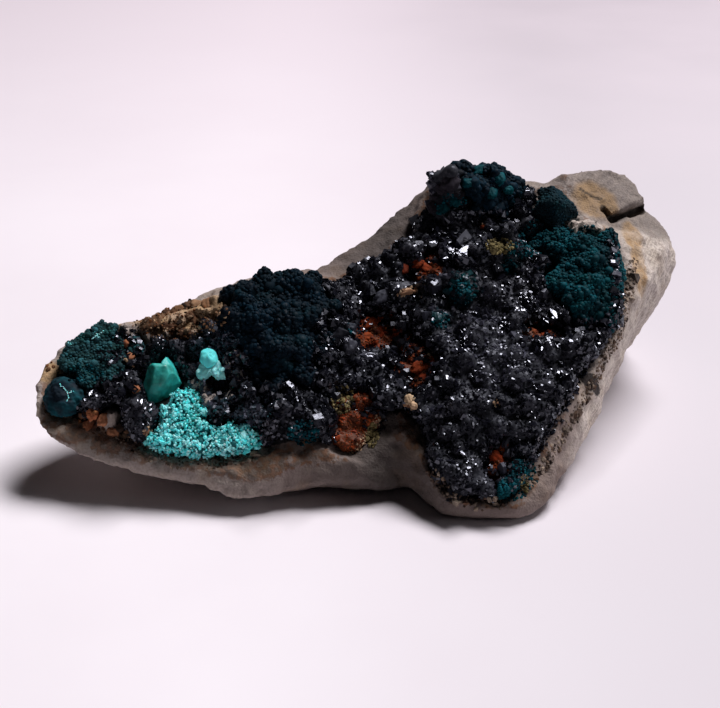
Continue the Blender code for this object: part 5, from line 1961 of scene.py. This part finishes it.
def main() -> None:
    """Builds the studio and every part of the specimen."""
    logging.basicConfig(level=logging.INFO, format="%(message)s")
    STUDIO.build()
    built = [Dolomite().build()]
    coarse = [habit.model() for habit in (Habit.WEDGE, Habit.DIAMOND, Habit.BLOCK, Habit.PLATE, Habit.SHARD)]
    facet = Habit.TABLE.model()
    fine = [Habit.ROOF.model(), Habit.SLAB.model(), point_crystal()]
    grain = round_grain()
    ball = boulder(3)
    crumbs = [crumb(number) for number in range(1, 5)]

    libethenite = CrystalFinish().material()
    mixed = [*fine, *fine, *fine, *coarse]
    domes = (Relief("VORONOI", 2.3, -1.1), Relief("CLOUDS", 0.9, 0.3, 2))
    druse = Druse(
        "libethenite_crystals",
        "libethenite",
        mixed,
        (
            Layer(1.0, 1.35, 0.25, keep_off=(*FINE_GRAINED, *PEAK, Spot(16.6, 31.2, 1.2, 1.2), Spot(-5.0, 8.7, 1.1, 1.1))),
            Layer(0.5, 0.56, 0.35, keep_off=(*FINE_GRAINED, *PEAK)),
            Layer(0.38, 0.44, 0.7, keep_off=PEAK),
            Layer(0.28, 0.27, keep_off=PEAK, kinds=9),
        ),
        ("libethenite_druse",),
        voxel=0.34,
        reliefs=domes,
        soften=4,
        bed_tint=(0.0, 0.0, 1.7),
        bed_drop=0.1,
        teal_spots=(Spot(9.8, 21.5, 1.2, 1.6), Spot(7.6, 18.4, 0.8, 0.9), Spot(14.5, 24.5, 0.7, 0.9)),
        grey_spots=(
            Spot(11.9, 12.1, 1.9, 1.7),
            Spot(11.8, 19.0, 1.6, 1.6),
            Spot(9.8, 15.8, 1.9, 1.6),
            Spot(15.0, 15.0, 2.5, 2.0),
            *PEAK,
        ),
        glints=GLINTS,
        facet=facet,
    ).build(libethenite)
    built.append(druse)
    druse = Druse(
        "libethenite_arm_crystals",
        "libethenite",
        mixed,
        (Layer(0.6, 0.9, 0.3), Layer(0.4, 0.42, 0.6, kinds=9), Layer(0.25, 0.22, kinds=9)),
        ("libethenite_arm_druse",),
        reliefs=domes,
        bed_tint=(0.0, 0.0, 1.7),
        bed_drop=0.1,
        glints=ARM_GLINTS,
        facet=facet,
        seed=5,
    ).build(libethenite)
    built.append(druse)

    navy = GrainFinish("teal_botryoidal", (0.0006, 0.0028, 0.0066), (0.0022, 0.027, 0.050), (0.0015, 0.024, 0.034))
    navy_material = navy.material()
    crust = Botryoidal(
        "mound_grains",
        "teal_botryoidal",
        [grain],
        (Layer(0.9, 0.95, 0.6, sink=0.3), Layer(0.58, 0.5, 0.8, sink=0.2), Layer(0.38, 0.34)),
        ("botryoidal_mound",),
        reliefs=(Relief("VORONOI", 2.6, -1.2), Relief("CLOUDS", 1.2, 0.5, 1)),
        light=0.3,
        patch=2.2,
    ).build(navy_material)
    built.append(crust)
    crust = Botryoidal(
        "crown_grains",
        "teal_botryoidal",
        [grain, ball, ball],
        (Layer(1.15, 0.9, 0.8, 0.8, sink=0.35), Layer(0.55, 0.42, sink=0.2, kinds=1), Layer(0.3, 0.26, 0.25, kinds=1)),
        ("botryoidal_crown",),
        reliefs=(Relief("VORONOI", 2.6, -1.5), Relief("CLOUDS", 1.0, 0.3, 1)),
        pulls=(Pull((8.6, 10.9, 23.3), 2.6, (0.3, 0.5, -0.9)),),
        light=0.55,
        patch=2.4,
    ).build(navy_material)
    built.append(crust)
    teal = GrainFinish("teal_flank", (0.0006, 0.0110, 0.0165), (0.002, 0.110, 0.145), (0.002, 0.082, 0.090))
    teal_material = teal.material()
    crust = Botryoidal(
        "flank_grains",
        "teal_botryoidal",
        [grain],
        (Layer(0.6, 0.55, 0.6), Layer(0.34, 0.27)),
        ("botryoidal_flank",),
        reliefs=(Relief("VORONOI", 2.4, -1.2), Relief("CLOUDS", 1.0, 0.4, 1)),
        light=0.45,
        green=0.15,
        patch=1.8,
    ).build(teal_material)

    built.append(crust)
    velvet = GrainFinish(
        "teal_velvet", (0.0080, 0.0150, 0.0190), (0.036, 0.150, 0.175), (0.022, 0.120, 0.105), 0.6, 0.3
    ).material()
    knob = GrainFinish(
        "velvet_knob", (0.0030, 0.0080, 0.0120), (0.010, 0.055, 0.085), (0.008, 0.048, 0.055), 0.6, 0.3
    ).material()
    Botryoidal(
        "knob_velvet",
        "teal_velvet",
        [grain],
        (Layer(0.34, 0.27),),
        ("velvet_knob",),
        voxel=0.3,
        soften=16,
        reliefs=(Relief("CLOUDS", 1.0, 0.4, 2),),
        light=0.3,
    ).build(knob)
    crust = Botryoidal(
        "arm_velvet",
        "teal_velvet",
        [grain],
        (Layer(0.5, 0.6, 0.4), Layer(0.3, 0.24)),
        ("velvet_arm_crust",),
        reliefs=(Relief("VORONOI", 1.4, -0.5), Relief("CLOUDS", 0.8, 0.3, 2)),
        light=0.7,
        patch=1.2,
    ).build(velvet)
    built.append(crust)
    crust = Botryoidal(
        "fringe_grains", "teal_botryoidal", [grain], (Layer(0.3, 0.24),), ("botryoidal_fringe",), light=0.6
    ).build(teal_material)
    built.append(crust)
    tip = TipKnob().build(VelvetCrustFinish().material())
    built.append(tip)
    Malachite().build(GemFinish().material())

    turquoise = LaceFinish().material()
    Drop().build(crumbs, turquoise)
    Lace(
        "chrysocolla_lace",
        "chrysocolla",
        crumbs,
        (Layer(0.36, 0.185, spread=0.25),),
        ("chrysocolla_crust",),
        soften=4,
        lean=0.8,
        reliefs=(Relief("CLOUDS", 0.8, 0.5, 1),),
        # The bed takes the hollow colour: painted shade between the beads.
        bed_tint=(0.0, 0.1, 0.0),
        bed_drop=0.25,
    ).build(turquoise)
    limonite = EarthFinish("limonite", (0.010, 0.004, 0.002), (0.340, 0.042, 0.008), (0.440, 0.120, 0.030)).material()
    for number, node in enumerate(("crevice", "upper", "middle", "ridge", "flank", "lobe")):
        patch = Earth(
            f"rust_{node}",
            "limonite",
            shapes=crumbs,
            lean=0.6,
            layers=(Layer(0.46, 0.6, 0.5), Layer(0.26, 0.2)),
            nodes=(f"limonite_{node}",),
            reliefs=(Relief("CLOUDS", 0.8, 0.6, 2),),
            bed_drop=0.4,
            seed=number,
        ).build(limonite)
        built.append(patch)
    surface = Ground(thing.data for thing in built)
    Druse(
        "border_crystals",
        "libethenite",
        mixed,
        (
            Layer(0.62, 0.6, 0.6, spots=(*RUSTY, *CRUST_BORDERS), keep_off=RUST_SHOWN),
            Layer(0.34, 0.28, 0.8, spots=(*RUSTY, *CRUST_BORDERS, *OUTER_BORDER), keep_off=RUST_SHOWN),
        ),
    ).build(libethenite, surface)
    swarm = Swarm("large_crystals")
    for crystal in LARGE_CRYSTALS:
        crystal.add_to(swarm, surface)
    dress(swarm.build(), libethenite, "libethenite")
    dull = EarthFinish("dull_crystals", (0.004, 0.004, 0.006), (0.016, 0.013, 0.019), (0.036, 0.030, 0.042)).material()
    swarm = Swarm("peak_lumps")
    for lump in PEAK_LUMPS:
        lump.add_to(swarm, surface)
    dress(swarm.build(), dull, "libethenite")
    swarm = Swarm("rust_lumps")
    for lump in RUST_LUMPS:
        lump.add_to(swarm, surface)
    dress(swarm.build(), limonite, "limonite")
    swarm = Swarm("crown_lumps")
    for lump in CROWN_LUMPS:
        lump.add_to(swarm, surface)
    dress(swarm.build(), teal_material, "teal_botryoidal")
    rim = EarthFinish("rim_crumbs", (0.024, 0.013, 0.008), (0.270, 0.100, 0.036), (0.520, 0.360, 0.220)).material()
    swarm = Swarm("rim_lumps")
    for lump in RIM_LUMPS:
        lump.add_to(swarm, surface)
    lumps = swarm.build()
    dress(lumps, rim, "dolomite")
    rim_surface = Ground(thing.data for thing in (*built, lumps))
    Earth(
        "rim_crumbs",
        "dolomite",
        shapes=crumbs,
        lean=0.6,
        layers=(
            Layer(0.46, 0.42, 0.6, spots=(Spot(-17.1, 18.9, 4.2, 1.5), Spot(-20.9, 14.0, 0.8, 0.6)), sink=0.3),
            Layer(0.28, 0.2, spots=(Spot(-17.4, 18.0, 3.6, 1.5),), sink=0.25),
            Layer(0.6, 0.45, spots=(Spot(-28.9, 13.6, 0.5, 0.7), Spot(-22.5, 6.6, 1.5, 0.5), Spot(-24.6, 8.0, 1.4, 0.6))),
        ),
        rust=0.35,
        pale=0.12,
        mix=0.4,
    ).build(rim, rim_surface)
    edge = EarthFinish("edge_crumbs", (0.030, 0.020, 0.016), (0.190, 0.118, 0.080), (0.500, 0.400, 0.310)).material()
    Earth(
        "edge_crumbs",
        "dolomite",
        shapes=[*crumbs, *coarse],
        lean=0.6,
        layers=(
            Layer(0.36, 0.45, 0.4, spots=spots_along(CRUST_EDGE, 0.35)),
            Layer(0.22, 0.25, 0.6, spots=spots_along(CRUST_EDGE, 0.4)),
            Layer(0.3, 0.3, 0.8, spots=spots_along(FRONT_EDGE, 0.5)),
            Layer(0.3, 0.3, 0.7, spots=spots_along(ARM_EDGE, 0.5)),
        ),
        rust=0.4,
        pale=0.2,
        mix=0.3,
    ).build(edge, surface)
    salmon = EarthFinish("salmon", (0.050, 0.022, 0.010), (0.500, 0.150, 0.062), (0.620, 0.340, 0.190)).material()
    swarm = Swarm("salmon_lumps")
    for lump in SALMON_LUMPS:
        lump.add_to(swarm, surface)
    dress(swarm.build(), salmon, "dolomite")
    flesh = EarthFinish("tan_specks", (0.090, 0.045, 0.025), (0.420, 0.200, 0.110), (0.720, 0.540, 0.350)).material()
    swarm = Swarm("tan_lumps")
    for lump in TAN_LUMPS:
        lump.add_to(swarm, surface)
    dress(swarm.build(), flesh, "limonite")
    Earth(
        "tan_specks",
        "limonite",
        shapes=crumbs,
        layers=(
            Layer(0.55, 0.3, spots=(Spot(4.6, 9.7, 0.45, 0.45),)),
            Layer(0.5, 0.4, spots=(Spot(4.3, 21.6, 0.6, 0.25), Spot(-19.1, 6.7, 0.35, 0.5))),
            Layer(0.28, 0.2, spots=spots_along(((1.6, 8.0), (1.0, 6.8), (0.2, 5.5), (-0.5, 4.5)), 0.3)),
            Layer(0.4, 0.25, spots=spots_along(((3.8, 21.3), (4.5, 21.7), (5.2, 21.9)), 0.3)),
            Layer(0.3, 0.22, spots=(Spot(12.2, 29.4, 0.25, 0.25), Spot(12.5, 9.5, 0.3, 0.3), Spot(6.6, 14.8, 0.4, 0.3))),
        ),
        rust=0.7,
        pale=0.45,
        mix=0.3,
    ).build(flesh, surface)
    Druse(
        "hollow_crystals",
        "libethenite",
        fine,
        (Layer(0.45, 0.4, 0.6, spots=HOLLOW), Layer(0.27, 0.2, spots=HOLLOW)),
        bed_tint=(0.3, 0.5, 1.0),
        teal_spots=HOLLOW,
        grey_spots=HOLLOW,
        facet=facet,
    ).build(libethenite, surface)
    Botryoidal(
        "teal_patches",
        "teal_botryoidal",
        [grain],
        (
            Layer(
                0.3,
                0.24,
                spots=(
                    Spot(9.8, 21.5, 1.0, 1.4),
                    Spot(7.6, 18.4, 0.7, 0.8),
                    Spot(14.5, 24.5, 0.5, 0.8),
                    Spot(18.3, 28.0, 2.4, 1.9),
                    Spot(18.6, 28.2, 1.4, 1.2),
                    Spot(16.0, 26.5, 1.6, 0.8),
                    Spot(-25.5, 12.6, 1.6, 0.8),
                    Spot(-0.8, 17.5, 0.7, 0.5),
                    Spot(-5.1, 6.5, 1.2, 1.1),
                    Spot(22.4, 28.7, 0.8, 0.7),
                    Spot(14.8, 2.4, 0.8, 1.3),
                    Spot(13.4, 0.7, 1.1, 0.7),
                    Spot(13.8, 1.6, 0.9, 0.8),
                    Spot(9.5, 32.5, 1.2, 0.7),
                    Spot(8.0, 31.4, 0.7, 0.6),
                ),
            ),
        ),
        light=0.6,
    ).build(teal_material, surface)
    Vein(
        "turquoise_flecks",
        (
            ((-27.6, 11.5), (-26.9, 10.8), (-26.6, 10.1), (-26.8, 9.7)),
            ((-26.3, 10.8), (-26.8, 10.6)),
            ((-25.1, 16.3), (-24.7, 16.8), (-24.1, 17.2)),
            ((-24.9, 17.1), (-24.5, 16.5)),
            ((-27.4, 15.9), (-27.0, 15.8)),
        ),
    ).build(crumbs[0], surface, turquoise)
    olive = EarthFinish("olive", (0.024, 0.019, 0.008), (0.150, 0.118, 0.040), (0.400, 0.320, 0.150)).material()
    Earth(
        "olive_patch",
        "limonite",
        shapes=crumbs,
        lean=0.6,
        layers=(
            Layer(0.42, 0.3, spots=OLIVE_SPOTS, sink=-0.1),
            Layer(0.3, 0.18, spots=OLIVE_SPOTS, sink=-0.2),
        ),
        pale=0.3,
    ).build(olive, surface)


if __name__ == "__main__":
    main()
